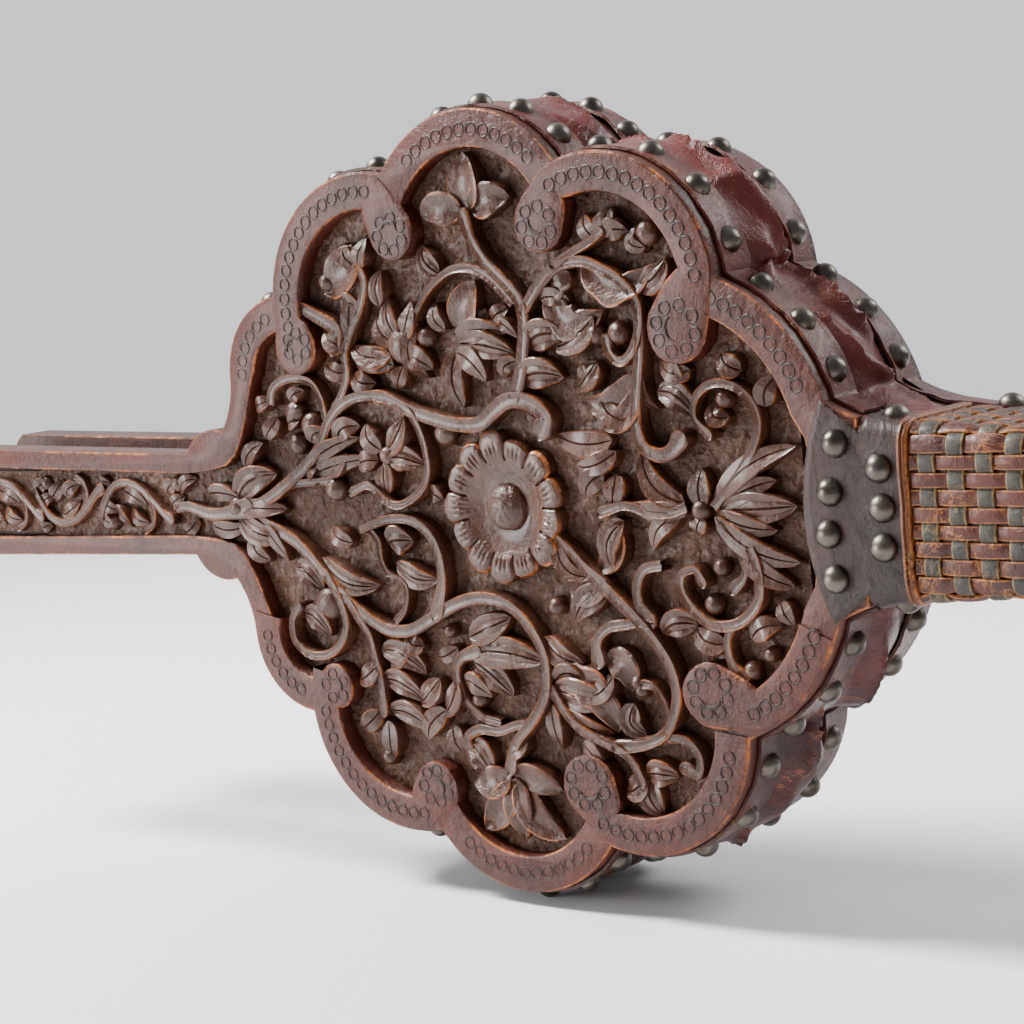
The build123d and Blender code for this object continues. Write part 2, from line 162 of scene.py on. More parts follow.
# %% The paint class
class Paint:
    def __init__(self, tree, socket=None):
        self.tree = tree
        self.socket = socket

    def node(self, kind, settings=None, inputs=None, out=0):
        made = self.tree.nodes.new(kind)
        for key, value in (settings or {}).items():
            setattr(made, key, value)
        for key, value in (inputs or {}).items():
            if isinstance(value, Paint):
                self.tree.links.new(value.socket, made.inputs[key])
            else:
                made.inputs[key].default_value = value
        return Paint(self.tree, made.outputs[out])

    def sum_with(self, operation, a, b):
        return self.node("ShaderNodeMath", {"operation": operation}, {0: a, 1: b})

    def __add__(self, other):
        return self.sum_with("ADD", self, other)

    __radd__ = __add__

    def __mul__(self, other):
        return self.sum_with("MULTIPLY", self, other)

    __rmul__ = __mul__

    def __sub__(self, other):
        return self.sum_with("SUBTRACT", self, other)

    def __rsub__(self, other):
        return self.sum_with("SUBTRACT", other, self)

    def clamp(self, low, high):
        """0 below low, 1 above high, straight between."""
        inputs = {0: self, 1: low, 2: high, 3: 0.0, 4: 1.0}
        return self.node("ShaderNodeMapRange", {"clamp": True}, inputs)

    def blend(self, a, b):
        """Colour a where this value is 0, colour b where it is 1."""
        settings = {"data_type": "RGBA"}
        return self.node("ShaderNodeMix", settings, {0: self, 6: colour(a), 7: colour(b)}, out=2)


def colour(value):
    return value if isinstance(value, Paint) else (*value, 1.0)


def new_finish(name, constants):
    """A material, its sheet for patterns and its shader, with the constant sockets set."""
    material = bpy.data.materials.new(name)
    material.use_nodes = True
    shader = material.node_tree.nodes["Principled BSDF"]
    for key, value in constants.items():
        shader.inputs[key].default_value = value
    return material, Paint(material.node_tree), shader


def connect(sheet, shader, **sockets):
    """Lead finished patterns into the shader."""
    for key, value in sockets.items():
        sheet.tree.links.new(value.socket, shader.inputs[key.replace("_", " ")])


def object_space(sheet, stretch=(1, 1, 1)):
    """Object coordinates, stretched; the patterns stay with the piece."""
    where = sheet.node("ShaderNodeTexCoord", out=3)
    return sheet.node("ShaderNodeMapping", {}, {"Vector": where, "Scale": stretch})


def grain_noise(sheet, where, scale, detail=4.0, rough=0.6, twist=0.0):
    settings = {"Vector": where, "Scale": scale, "Detail": detail, "Roughness": rough,
                "Distortion": twist}
    return sheet.node("ShaderNodeTexNoise", {}, settings)


def relief(sheet, height, strength, distance, below=None):
    inputs = {"Height": height, "Strength": strength, "Distance": distance}
    if below is not None:
        inputs["Normal"] = below
    return sheet.node("ShaderNodeBump", {}, inputs)


# %% [markdown]
# ## Old walnut, waxed
# A century of wax and hands leaves carved walnut near black-brown with a red cast. High places
# are polished, and sharp edges are rubbed back to orange wood. The carving helper marks its edge
# faces in an attribute called `wear`, and noise breaks that line up.

# %% Wood finishes
def wood_finish(name, dark, light, worn, gloss, rubbed=1.0, punched=0.0, wax=0.12):
    material, sheet, shader = new_finish(name, {"Specular IOR Level": 0.4, "Coat Roughness": 0.18})
    where = object_space(sheet)
    along = object_space(sheet, (0.16, 1, 1))
    cloud = grain_noise(sheet, where, 34.0, 5.0, 0.62)
    fibre = grain_noise(sheet, along, 900.0, 3.0, 0.65)
    speck = grain_noise(sheet, where, 520.0, 4.0, 0.7)
    body = (cloud.clamp(0.34, 0.66) * 0.7 + fibre.clamp(0.35, 0.7) * 0.3).blend(dark, light)
    edge = sheet.node("ShaderNodeAttribute", {"attribute_name": "wear"}, out=2)
    patchy = grain_noise(sheet, where, 62.0, 5.0, 0.7).clamp(0.46, 0.62)
    rub = edge * (patchy * 0.95 + 0.05) * (speck.clamp(0.3, 0.55)) * rubbed
    spots = speck.clamp(0.66, 0.74) * patchy * (0.3 * rubbed)
    coloured = (rub + spots).clamp(0.0, 1.0).blend(body, worn)
    rough = cloud.clamp(0.3, 0.7) * 0.16 + speck.clamp(0.3, 0.7) * 0.1 + gloss
    lumps = relief(sheet, grain_noise(sheet, where, 190.0, 4.0, 0.6), 0.8, 0.0016 + 0.002 * punched)
    height = fibre * 0.35 + speck * 0.5
    if punched:
        cells = sheet.node("ShaderNodeTexVoronoi", {"feature": "F1"},
                           {"Vector": where, "Scale": 430.0})
        matted = grain_noise(sheet, where, 330.0, 4.0, 0.75)
        height = height + cells.clamp(0.1, 0.8) * punched + matted * (2.2 * punched)
    bump = relief(sheet, height, 0.8, 0.0006 + 0.0022 * punched, lumps)
    coat = cloud.clamp(0.35, 0.65) * wax + 0.02
    connect(sheet, shader, Base_Color=coloured, Roughness=rough, Normal=bump, Coat_Weight=coat)
    return material


border_wood = wood_finish("border_wood", (0.026, 0.0038, 0.0012), (0.082, 0.0125, 0.0032),
                          (0.42, 0.120, 0.022), 0.36)
leaf_wood = wood_finish("leaf_wood", (0.030, 0.0098, 0.0046), (0.084, 0.0275, 0.0115),
                        (0.46, 0.130, 0.024), 0.25, wax=0.55)
ground_wood = wood_finish("ground_wood", (0.050, 0.0200, 0.0110), (0.150, 0.0720, 0.0430),
                          (0.22, 0.075, 0.020), 0.52, 0.6, 0.8)
# Painted shade: the punched rings and the volute slits get this near-black wood to stand for the
# shade in cut grooves.
ring_painted_shade = wood_finish("ring_painted_shade", (0.010, 0.0035, 0.0022), (0.028, 0.0090, 0.0050),
                        (0.20, 0.060, 0.018), 0.45)
plain_wood = wood_finish("plain_wood", (0.022, 0.0058, 0.0034), (0.066, 0.0165, 0.0080),
                         (0.34, 0.105, 0.025), 0.32)

# %% [markdown]
# ## The carving helper
# Everything the carver left standing is a stroke of the gouge turned inside out: a strip with a
# middle line, a width that swells and tapers, and a cross section. So one helper lays a flat grid
# along a smooth line. A stem is a long stroke with a hollow top, a leaf is a short one that swells,
# and only a berry is a ball. The grid is added once per size and copied.

# %% Strokes
shelf = bpy.data.collections.new("shelf")
bpy.context.scene.collection.children.link(shelf)
blanks = {}


def blank_strip(rows, columns):
    """A copy of a flat grid with this many vertices along and across."""
    if (rows, columns) not in blanks:
        bpy.ops.object.select_all(action="DESELECT")
        bpy.ops.mesh.primitive_grid_add(x_subdivisions=columns - 1, y_subdivisions=rows - 1, size=2)
        mesh = bpy.context.object.data.copy()
        bpy.data.objects.remove(bpy.context.object)
        blanks[rows, columns] = mesh
    copy = bpy.data.objects.new("stroke", blanks[rows, columns].copy())
    bpy.context.scene.collection.objects.link(copy)
    return copy


def strip_through(rows):
    """A strip laid through rows of (x, y, z) points."""
    points = np.array(rows)
    piece = blank_strip(*points.shape[:2])
    piece.data.vertices.foreach_set("co", points.reshape(-1))
    piece.data.update()
    return piece


def smooth_line(points, steps):
    """Points on a curve that passes through the given ones, each with any number of values."""
    given = np.array(points, float)
    padded = np.vstack([2 * given[0] - given[1], given, 2 * given[-1] - given[-2]])
    line = []
    for k in range(len(given) - 1):
        a, b, c, d = padded[k:k + 4]
        for step in range(steps):
            t = step / steps
            line.append(0.5 * (2 * b + (c - a) * t + (2 * a - 5 * b + 4 * c - d) * t * t
                               + (3 * b - a - 3 * c + d) * t ** 3))
    line.append(given[-1])
    return np.array(line)


def round_ends(line, first, last):
    """Extend a line of x, y, half width, height with rounded ends."""
    stations = list(line)
    for wanted, index, beyond in ((first, 0, 1), (last, -1, -2)):
        if not wanted:
            continue
        end = np.array(stations[index])
        back = np.array(stations[beyond])
        way = (end - back)[:2]
        way = way / (hypot(*way) + 1e-9)
        extra = []
        for turn in (20, 40, 58, 74, 90):
            row = end.copy()
            row[:2] += way * end[2] * sin(radians(turn))
            row[2] = end[2] * cos(radians(turn))
            extra.append(row)
        stations = extra[::-1] + stations if index == 0 else stations + extra
    return np.array(stations)


def stroke(points, section, steps=5, ends=(False, False), floor=SUNK):
    """A strip along points (x, y, half width, height); section is (across, height, wear) from left
    to right, and its first and last points drop to the floor."""
    line = round_ends(smooth_line(points, steps), *ends)
    middle, half, top = line[:, :2], np.maximum(line[:, 2], 0.02), line[:, 3]
    way = np.gradient(middle, axis=0)
    way = way / (np.linalg.norm(way, axis=1, keepdims=True) + 1e-9)
    if ends[0]:
        way[:5] = way[5]
    if ends[1]:
        way[-5:] = way[-6]
    side = np.stack([way[:, 1], -way[:, 0]], axis=1)
    across = np.array([row[0] for row in section])
    drop = np.array([row[1] for row in section])
    worn = np.array([row[2] for row in section[:-1]])
    spots = np.zeros((len(line), len(section), 3))
    offsets = half[:, None] * across[None, :]
    spots[:, :, :2] = middle[:, None, :] + side[:, None, :] * offsets[:, :, None]
    scale = np.minimum(1.0, half / 1.6)
    spots[:, :, 2] = top[:, None] + drop[None, :] * scale[:, None]
    spots[:, 0, 2] = floor
    spots[:, -1, 2] = floor
    piece = strip_through(spots)
    add_wear(piece, np.tile(worn, len(line) - 1))
    return piece


STEM = ((-1, 0, 0), (-1, -0.5, 0.9), (-0.86, 0.1, 0.1), (-0.35, -0.55, 0), (0.2, -0.7, 0),
        (0.78, -0.15, 0.5), (1, -0.7, 0), (1, 0, 0))
LEAF = ((-1, 0, 0), (-1, -0.45, 0.9), (-0.9, 0.1, 0), (-0.5, -0.1, 0), (-0.1, -0.2, 0),
        (0, -1.0, 0), (0.1, -0.25, 0), (0.5, -0.3, 0), (0.9, -0.1, 0.9), (1, -0.6, 0), (1, 0, 0))
VEINED = ((-1, 0, 0), (-1, -0.45, 0.9), (-0.92, 0.1, 0), (-0.62, -0.05, 0), (-0.46, -0.5, 0),
          (-0.30, -0.15, 0), (-0.10, -0.1, 0), (0, -0.95, 0), (0.10, -0.25, 0), (0.30, -0.35, 0),
          (0.46, -0.7, 0), (0.62, -0.3, 0), (0.92, 0, 0.9), (1, -0.6, 0), (1, 0, 0))
SCOOP = ((-1, 0, 0), (-1, -0.35, 0.9), (-0.86, 0.1, 0), (-0.45, -1.0, 0), (0, -1.7, 0),
         (0.4, -1.5, 0), (0.84, -0.3, 0.8), (1, -0.5, 0), (1, 0, 0))
RIBBON = ((-1, 0, 0), (-1, -0.75, 0.9), (-0.93, -0.15, 0.12), (-0.8, 0, 0), (0, 0.18, 0),
          (0.8, 0, 0.12), (0.93, -0.15, 0.9), (1, -0.75, 0), (1, 0, 0))


def stem(points, start=2.2, end=1.4, top=-0.6, tail=None):
    """A stem through plan points, tapering from start to end half width."""
    count = len(points) - 1
    last = tail if tail is not None else top
    rows = [(x, y, start + (end - start) * k / count, top + (last - top) * (k / count) ** 3)
            for k, (x, y) in enumerate(points)]
    rows[-1] = (*points[-1], end * 1.35, last)
    return stroke(rows, STEM, ends=(False, True))


def leaf(x0, y0, x1, y1, half, bend=0.0, section=LEAF, top=-0.9, shape=0.8, root=-3.0, tip=-3.6,
         teeth=0, tilt=0.0):
    """A leaf from root to tip; bend bows it sideways, teeth notch its edges, tilt leans it."""
    section = [(a, b + tilt * a, w) for a, b, w in section]
    length = hypot(x1 - x0, y1 - y0)
    ux, uy = (x1 - x0) / length, (y1 - y0) / length
    rows = []
    count = 12 if teeth == 0 else 6 * teeth
    for k in range(count + 1):
        t = k / count
        swell = sin(pi * t ** shape) ** 0.6 if 0 < t < 1 else 0.0
        if teeth:
            swell *= 0.78 + 0.3 * abs(sin(pi * teeth * t ** 0.9))
        bow = bend * length * 4 * t * (1 - t)
        height = root + (top - root) * min(1.0, t / 0.4) ** 0.7
        if t > 0.55:
            height = top + (tip - top) * ((t - 0.55) / 0.45) ** 1.6
        rows.append((x0 + ux * length * t - uy * bow, y0 + uy * length * t + ux * bow, half * swell,
                     height))
    return stroke(rows, section, steps=1)


def berry(x, y, radius, top=-1.0):
    """A round bud whose foot is sunk in the ground."""
    bpy.ops.object.select_all(action="DESELECT")
    bpy.ops.mesh.primitive_uv_sphere_add(segments=22, ring_count=12, radius=1.0,
                                         location=(x, y, (top + SUNK) / 2))
    ball = bpy.context.object
    ball.scale = (radius * 1.12, radius * 1.12, (top - SUNK) / 2)
    bpy.ops.object.transform_apply(location=True, rotation=True, scale=True)
    add_wear(ball)
    return ball


# %% [markdown]
# ## The outline of the boards
# The board is a row of overlapping circles. Their centres and radii give the outer edge, and the
# same circles made smaller give the inner edge of the border.

# %% Lobes
LOBES = ((-98.5, 49.5, 31.0), (-54.4, 75.3, 47.9), (-3.4, 92.7, 48.2), (49.8, 73.7, 48.1),
         (74.2, 17.8, 63.6))
LOBE_STEP = 4.0
BORDER_WIDTH = 13.5


def crossing(index, grow):
    """Where lobe index meets the next one, with both grown."""
    (ax, ay, ar), (bx, by, br) = LOBES[index], LOBES[index + 1]
    apart = hypot(bx - ax, by - ay)
    along = ((ar + grow) ** 2 - (br + grow) ** 2 + apart ** 2) / (2 * apart)
    off = max(0.0, (ar + grow) ** 2 - along ** 2) ** 0.5
    ux, uy = (bx - ax) / apart, (by - ay) / apart
    return ax + along * ux - off * uy, ay + along * uy + off * ux


def lobe_arc(index, grow, start=None, end=None):
    """Points along a lobe, clockwise, between its meetings with its neighbours or given angles."""
    x, y, radius = LOBES[index]
    if start is None:
        start = 180.0
        if index > 0:
            px, py = crossing(index - 1, grow)
            start = degrees(atan2(py - y, px - x)) % 360
    if end is None:
        px, py = crossing(index, grow)
        end = degrees(atan2(py - y, px - x))
    count = max(2, ceil((start - end) / LOBE_STEP))
    angles = [radians(start + (end - start) * k / count) for k in range(count + 1)]
    return [(x + (radius + grow) * cos(a), y + (radius + grow) * sin(a)) for a in angles]


def lobe_row(grow, last):
    """The upper row of lobes, from the handle to an angle on the last lobe."""
    points = []
    for index in range(len(LOBES)):
        points += lobe_arc(index, grow, end=last if index == len(LOBES) - 1 else None)
    return points


def arc_between(a, m, b, count):
    """Points on the circle through a, m and b."""
    ax, ay, bx, by, cx, cy = *a, *m, *b
    d = 2 * (ax * (by - cy) + bx * (cy - ay) + cx * (ay - by))
    aa, bb, cc = ax * ax + ay * ay, bx * bx + by * by, cx * cx + cy * cy
    ux = (aa * (by - cy) + bb * (cy - ay) + cc * (ay - by)) / d
    uy = (aa * (cx - bx) + bb * (ax - cx) + cc * (bx - ax)) / d
    r = hypot(ax - ux, ay - uy)
    first, mid, last = (atan2(y - uy, x - ux) for x, y in (a, m, b))
    turn = (last - first) % (2 * pi)
    if (mid - first) % (2 * pi) > turn:
        turn -= 2 * pi
    return [(ux + r * cos(first + turn * k / count),
             uy + r * sin(first + turn * k / count)) for k in range(count + 1)]


def mirrored(upper):
    """An upper row of points closed by its mirror image."""
    return upper + [(x, -y) for x, y in reversed(upper)]


shoulder = [(-318.0, 23.7), (-158.5, 20.2)]
shoulder += arc_between((-158.5, 20.2), (-147.7, 29.2), (-137.0, 29.2), 8)[1:]
shoulder += arc_between((-137.0, 29.2), (-131.4, 39.4), (-129.5, 49.5), 7)[1:-1]
handle_end = arc_between((-318.0, -23.7), (-330.0, 0.0), (-318.0, 23.7), 12)[7:-1]
nose_run = arc_between((135.3, 35.3), (141.0, 32.6), (146.6, 30.4), 3)[1:]
outer_edge = mirrored(handle_end + shoulder + lobe_row(0.0, 16.0) + nose_run)
inner_upper = [(-314.0, 0.4), (-313.4, 9.0), (-308.0, 15.6), (-160.0, 12.5), (-146.0, 13.6),
               (-136.5, 15.6), (-131.0, 19.5), (-127.0, 25.5), (-123.5, 33.0), (-120.5, 41.0),
               (-117.5, 49.0)]
for index in range(len(LOBES)):
    inner_upper += lobe_arc(index, -BORDER_WIDTH, 172.0 if index == 0 else None,
                            16.0 if index == len(LOBES) - 1 else None)
inner_edge = mirrored(inner_upper + [(127.0, 24.0), (129.0, 12.0)])
print("outline points", len(outer_edge), "inner", len(inner_edge))

# %% [markdown]
# ## Slabs cut to an outline
# A flat board with a rounded arris is a filled curve: its points are the saw cut, its extrusion
# the thickness and its bevel the worn arris. Made a mesh, its bevel faces get the worn edge.

# %% Slab helper
def slab(name, edges, low, high, arris):
    """A flat piece between two heights with rounded edges; edges are closed point lists."""
    curve = bpy.data.curves.new(name, "CURVE")
    curve.dimensions = "2D"
    curve.fill_mode = "BOTH"
    curve.bevel_depth = arris
    curve.offset = -arris
    curve.bevel_resolution = 1
    curve.extrude = (high - low) / 2 - arris
    for edge in edges:
        spline = curve.splines.new("POLY")
        spline.points.add(len(edge) - 1)
        spline.points.foreach_set("co", [v for x, y in edge for v in (x, y, 0.0, 1.0)])
        spline.use_cyclic_u = True
    obj = bpy.data.objects.new(name, curve)
    bpy.context.scene.collection.objects.link(obj)
    obj.location.z = (high + low) / 2
    only(obj)
    bpy.ops.object.convert(target="MESH")
    piece = bpy.context.object
    merged(piece, 0.002, outward=True)
    tilt = [p.normal.z for p in piece.data.polygons]
    add_wear(piece, [0.95 if 0.15 < z < 0.97 else 0.0 for z in tilt])
    return piece


# %% [markdown]
# ## Front board
# The plank itself: everything behind the carved ground, with the handle a little thinner than
# the body. It stands for the CAD board, whose carved face is only roughly cut.

# %% Board behind the carving
plank = slab("plank", [outer_edge], -17.0, -9.6, 0.3)
body_edge = mirrored(arc_between((-147.7, 0.0), (-147.7, 14.0), (-147.6, 27.4), 3)[:-1]
                     + [p for p in shoulder if p[0] > -148.0] + lobe_row(0.0, 16.0) + nose_run)
thick = slab("thick", [body_edge], -20.0, -12.0, 0.7)
front_plank = joined("front_plank", [plank, thick])
front_plank = place(front_plank, "front_plank", "front_leaf", "carved_walnut", plain_wood,
                    smooth=18)
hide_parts("front_board")

# %% [markdown]
# ## Carved ground
# The ground is sunk with gouges and then matted with a punch, so that light dies in it and the
# leaves stand out. It is a fine grid: long gouge waves, then the pits of the punch, then crumbs.
# Faces outside the outline of the sunk field are deleted.

# %% Ground
bpy.ops.object.select_all(action="DESELECT")
bpy.ops.mesh.primitive_grid_add(x_subdivisions=400, y_subdivisions=240, size=2,
                                location=(-94.0, 0, 0))
ground = bpy.context.object
ground.scale = (216.0, 131.0, 1.0)
bpy.ops.object.transform_apply(location=True, rotation=True, scale=True)
for vertex in ground.data.vertices:
    x, y = vertex.co.x, vertex.co.y
    waves = noise.noise(Vector((x / 9, y / 9, 0))) * 0.5
    waves += noise.noise(Vector((x / 3.4, y / 3.4, 4))) * 0.7
    pits = noise.voronoi(Vector((x / 2.5, y / 2.5, 0)))[0][0]
    crumbs = noise.noise(Vector((x / 1.3, y / 1.3, 9))) * 0.35
    base = GROUND if x > -128 else GROUND + 2.9 * min(1.0, (-128 - x) / 30)
    vertex.co.z = base + waves + crumbs + 0.85 * min(pits, 0.8) - 0.35


def inside(points, edge):
    """Which points are inside a closed outline."""
    x, y = points[:, 0], points[:, 1]
    result = np.zeros(len(points), dtype=bool)
    for (ax, ay), (bx, by) in zip(edge, edge[1:] + edge[:1]):
        if ay != by:
            across = (y - ay) / (by - ay)
            result ^= ((ay > y) != (by > y)) & (x < (bx - ax) * across + ax)
    return result


field = [(-316.0, 12.0), (-160.0, 16.0), (-131.0, 22.0)] + lobe_row(-7.0, 12.0)
keep_in = mirrored(field + [(134.0, 12.0)])
only(ground)
bpy.ops.object.mode_set(mode="EDIT")
bpy.ops.mesh.select_all(action="DESELECT")
bpy.ops.object.mode_set(mode="OBJECT")
middles = np.array([face.center[:2] for face in ground.data.polygons])
ground.data.polygons.foreach_set("select", ~inside(middles, keep_in))
bpy.ops.object.mode_set(mode="EDIT")
bpy.ops.mesh.delete(type="FACE")
bpy.ops.object.mode_set(mode="OBJECT")
print("ground faces", len(ground.data.polygons))
add_wear(ground)
place(ground, "carved_ground", "front_leaf", "carved_walnut", ground_wood, smooth=60)

# %% [markdown]
# ## Border and rails
# The border follows the lobes and runs on into the handle's two rails in one piece.

# %% Border
border = slab("border", [outer_edge, inner_edge], -10.0, -0.55, 0.75)
place(border, "carved_border", "front_leaf", "carved_walnut", border_wood)

# %% [markdown]
# ## Scrolls on the border
# Six C scrolls lie over the border, each ending in round volutes that curl into the ground.

# %% Scrolls
def scroll(index, start, end, first_bulb, last_bulb, flip):
    """A ribbon along a lobe, with a round volute (x, y, radius) at each end or None."""
    x, y, radius = LOBES[index]
    middle = radius - BORDER_MIDDLE
    count = 12
    rows = []
    for k in range(count + 1):
        a = radians(start + (end - start) * k / count)
        rows.append([x + middle * cos(a), y + middle * sin(a), 6.6, 0.0])
    for bulb, end_row in ((first_bulb, rows[0]), (last_bulb, rows[-1])):
        if bulb:
            between = [0.5 * (end_row[0] + bulb[0]), 0.5 * (end_row[1] + bulb[1]),
                       0.35 * end_row[2] + 0.65 * bulb[2], 0.05]
            volute = [[*bulb, 0.1]]
            rows = volute + [between] + rows if bulb is first_bulb else rows + [between] + volute
    rows = [(px, flip * py, half, top) for px, py, half, top in rows]
    return stroke(rows, RIBBON, ends=(bool(first_bulb), bool(last_bulb)), floor=RIBBON_FOOT)


scrolls = [
    scroll(1, 186.0, 80.0, (-92.5, 60.5, 10.4), (-39.5, 100.5, 10.4), 1),
    scroll(3, 112.0, 8.0, (28.0, 99.5, 10.6), (81.5, 61.0, 12.0), 1),
    scroll(4, 60.0, 22.0, (84.0, 62.5, 11.4), None, -1),
    scroll(3, 110.0, 2.0, (29.5, 99.0, 11.8), None, -1),
    scroll(1, 196.0, 86.0, None, (-42.0, 105.5, 10.2), -1),
    scroll(0, 196.0, 80.0, None, (-88.5, 69.5, 8.8), -1),
]
ribbons = joined("scroll_ribbons", scrolls)
place(ribbons, "scroll_ribbons", "front_leaf", "carved_walnut", border_wood)

# %% [markdown]
# ## Punched rings
# A ring punch was struck all along the border and in clusters on the volutes. One low ring is
# modelled and copied, each copy with its own mesh, because hundreds of them need to be light.
# The rings stand a little proud and are painted near black: painted shade for the dark of the
# punched grooves. A small crescent, also painted near black, is painted shade for the slit where
# each volute rolls in. Rings lie higher on a ribbon.

# %% Punched rings
bpy.ops.object.select_all(action="DESELECT")
bpy.ops.mesh.primitive_torus_add(major_segments=14, minor_segments=4, major_radius=2.25,
                                 minor_radius=0.33)
ring_pattern = bpy.context.object
ring_pattern.scale = (1, 1, 0.6)
bpy.ops.object.transform_apply(scale=True)
rings = []
ON_BORDER = -0.5
ON_RIBBON = 0.26


def punch(x, y, top):
    ring = ring_pattern.copy()
    ring.data = ring_pattern.data.copy()
    ring.location = (x, y, top)
    bpy.context.scene.collection.objects.link(ring)
    rings.append(ring)


def punch_row(index, start, end, top, flip):
    """Rings at an even pitch along the middle of a lobe's border."""
    x, y, radius = LOBES[index]
    middle = radius - BORDER_MIDDLE
    pitch = degrees(5.4 / middle)
    for k in range(int((start - end) / pitch) + 1):
        a = radians(start - k * pitch)
        punch(x + middle * cos(a), flip * (y + middle * sin(a)), top)


def punch_cluster(x, y, radius, top, count):
    """Rings round the middle of a volute."""
    for k in range(count):
        a = 2 * pi * k / count + 0.5
        punch(x + (radius - 3.6) * cos(a), y + (radius - 3.6) * sin(a), top)


for flip in (1, -1):
    punch_row(0, 176.0, 108.0, ON_BORDER if flip == 1 else ON_RIBBON, flip)
    punch_row(2, 128.0, 42.0, ON_BORDER, flip)
punch_row(1, 190.0, 76.0, ON_RIBBON, 1)
punch_row(1, 174.0, 76.0, ON_RIBBON, -1)
punch_row(3, 112.0, 6.0, ON_RIBBON, 1)
punch_row(3, 112.0, 10.0, ON_RIBBON, -1)
punch_row(4, 68.0, 20.0, ON_BORDER, 1)
punch_row(4, 62.0, 20.0, ON_RIBBON, -1)
for x, y, radius, count in ((-91.0, 61.0, 8.6, 6), (-39.5, 99.5, 9.6, 7), (27.5, 98.5, 10.0, 7),
                            (81.5, 61.0, 11.4, 8), (84.0, -61.5, 10.6, 8), (29.0, -98.0, 11.0, 8),
                            (-42.0, -104.5, 9.6, 7), (-88.5, -69.5, 8.4, 5)):
    punch_cluster(x, y, radius, ON_RIBBON, count)
# Painted shade: each volute's slit is a small raised crescent in the near-black ring wood, standing
# for the dark of the slit.
for x, y, radius, turn in ((-92.5, 60.5, 10.4, 60), (-39.5, 100.5, 10.4, 20),
                           (28.0, 99.5, 10.6, 160), (81.5, 61.0, 12.0, 120),
                           (84.0, -62.5, 11.4, 200), (29.5, -99.0, 11.8, 200),
                           (-42.0, -105.5, 10.2, 330), (-88.5, -69.5, 8.8, 330)):
    slit = [(x + 0.36 * radius * cos(radians(turn + 20 * k)),
             y + 0.36 * radius * sin(radians(turn + 20 * k)),
             0.75 * sin(pi * (k + 0.3) / 7.6), 0.62) for k in range(8)]
    rings.append(stroke(slit, RIBBON, floor=-0.6))
bpy.data.objects.remove(ring_pattern)
print("punched rings", len(rings))
punched = joined("punched_rings", rings)
add_wear(punched)
place(punched, "punched_rings", "front_leaf", "carved_walnut", ring_painted_shade, smooth=60)

# %% [markdown]
# ## Stems
# One plant grows out of the handle and fills the round field. Its stems are hollowed along the
# top and keep a sharp edge on one side. Each is a stroke through a few plan points.

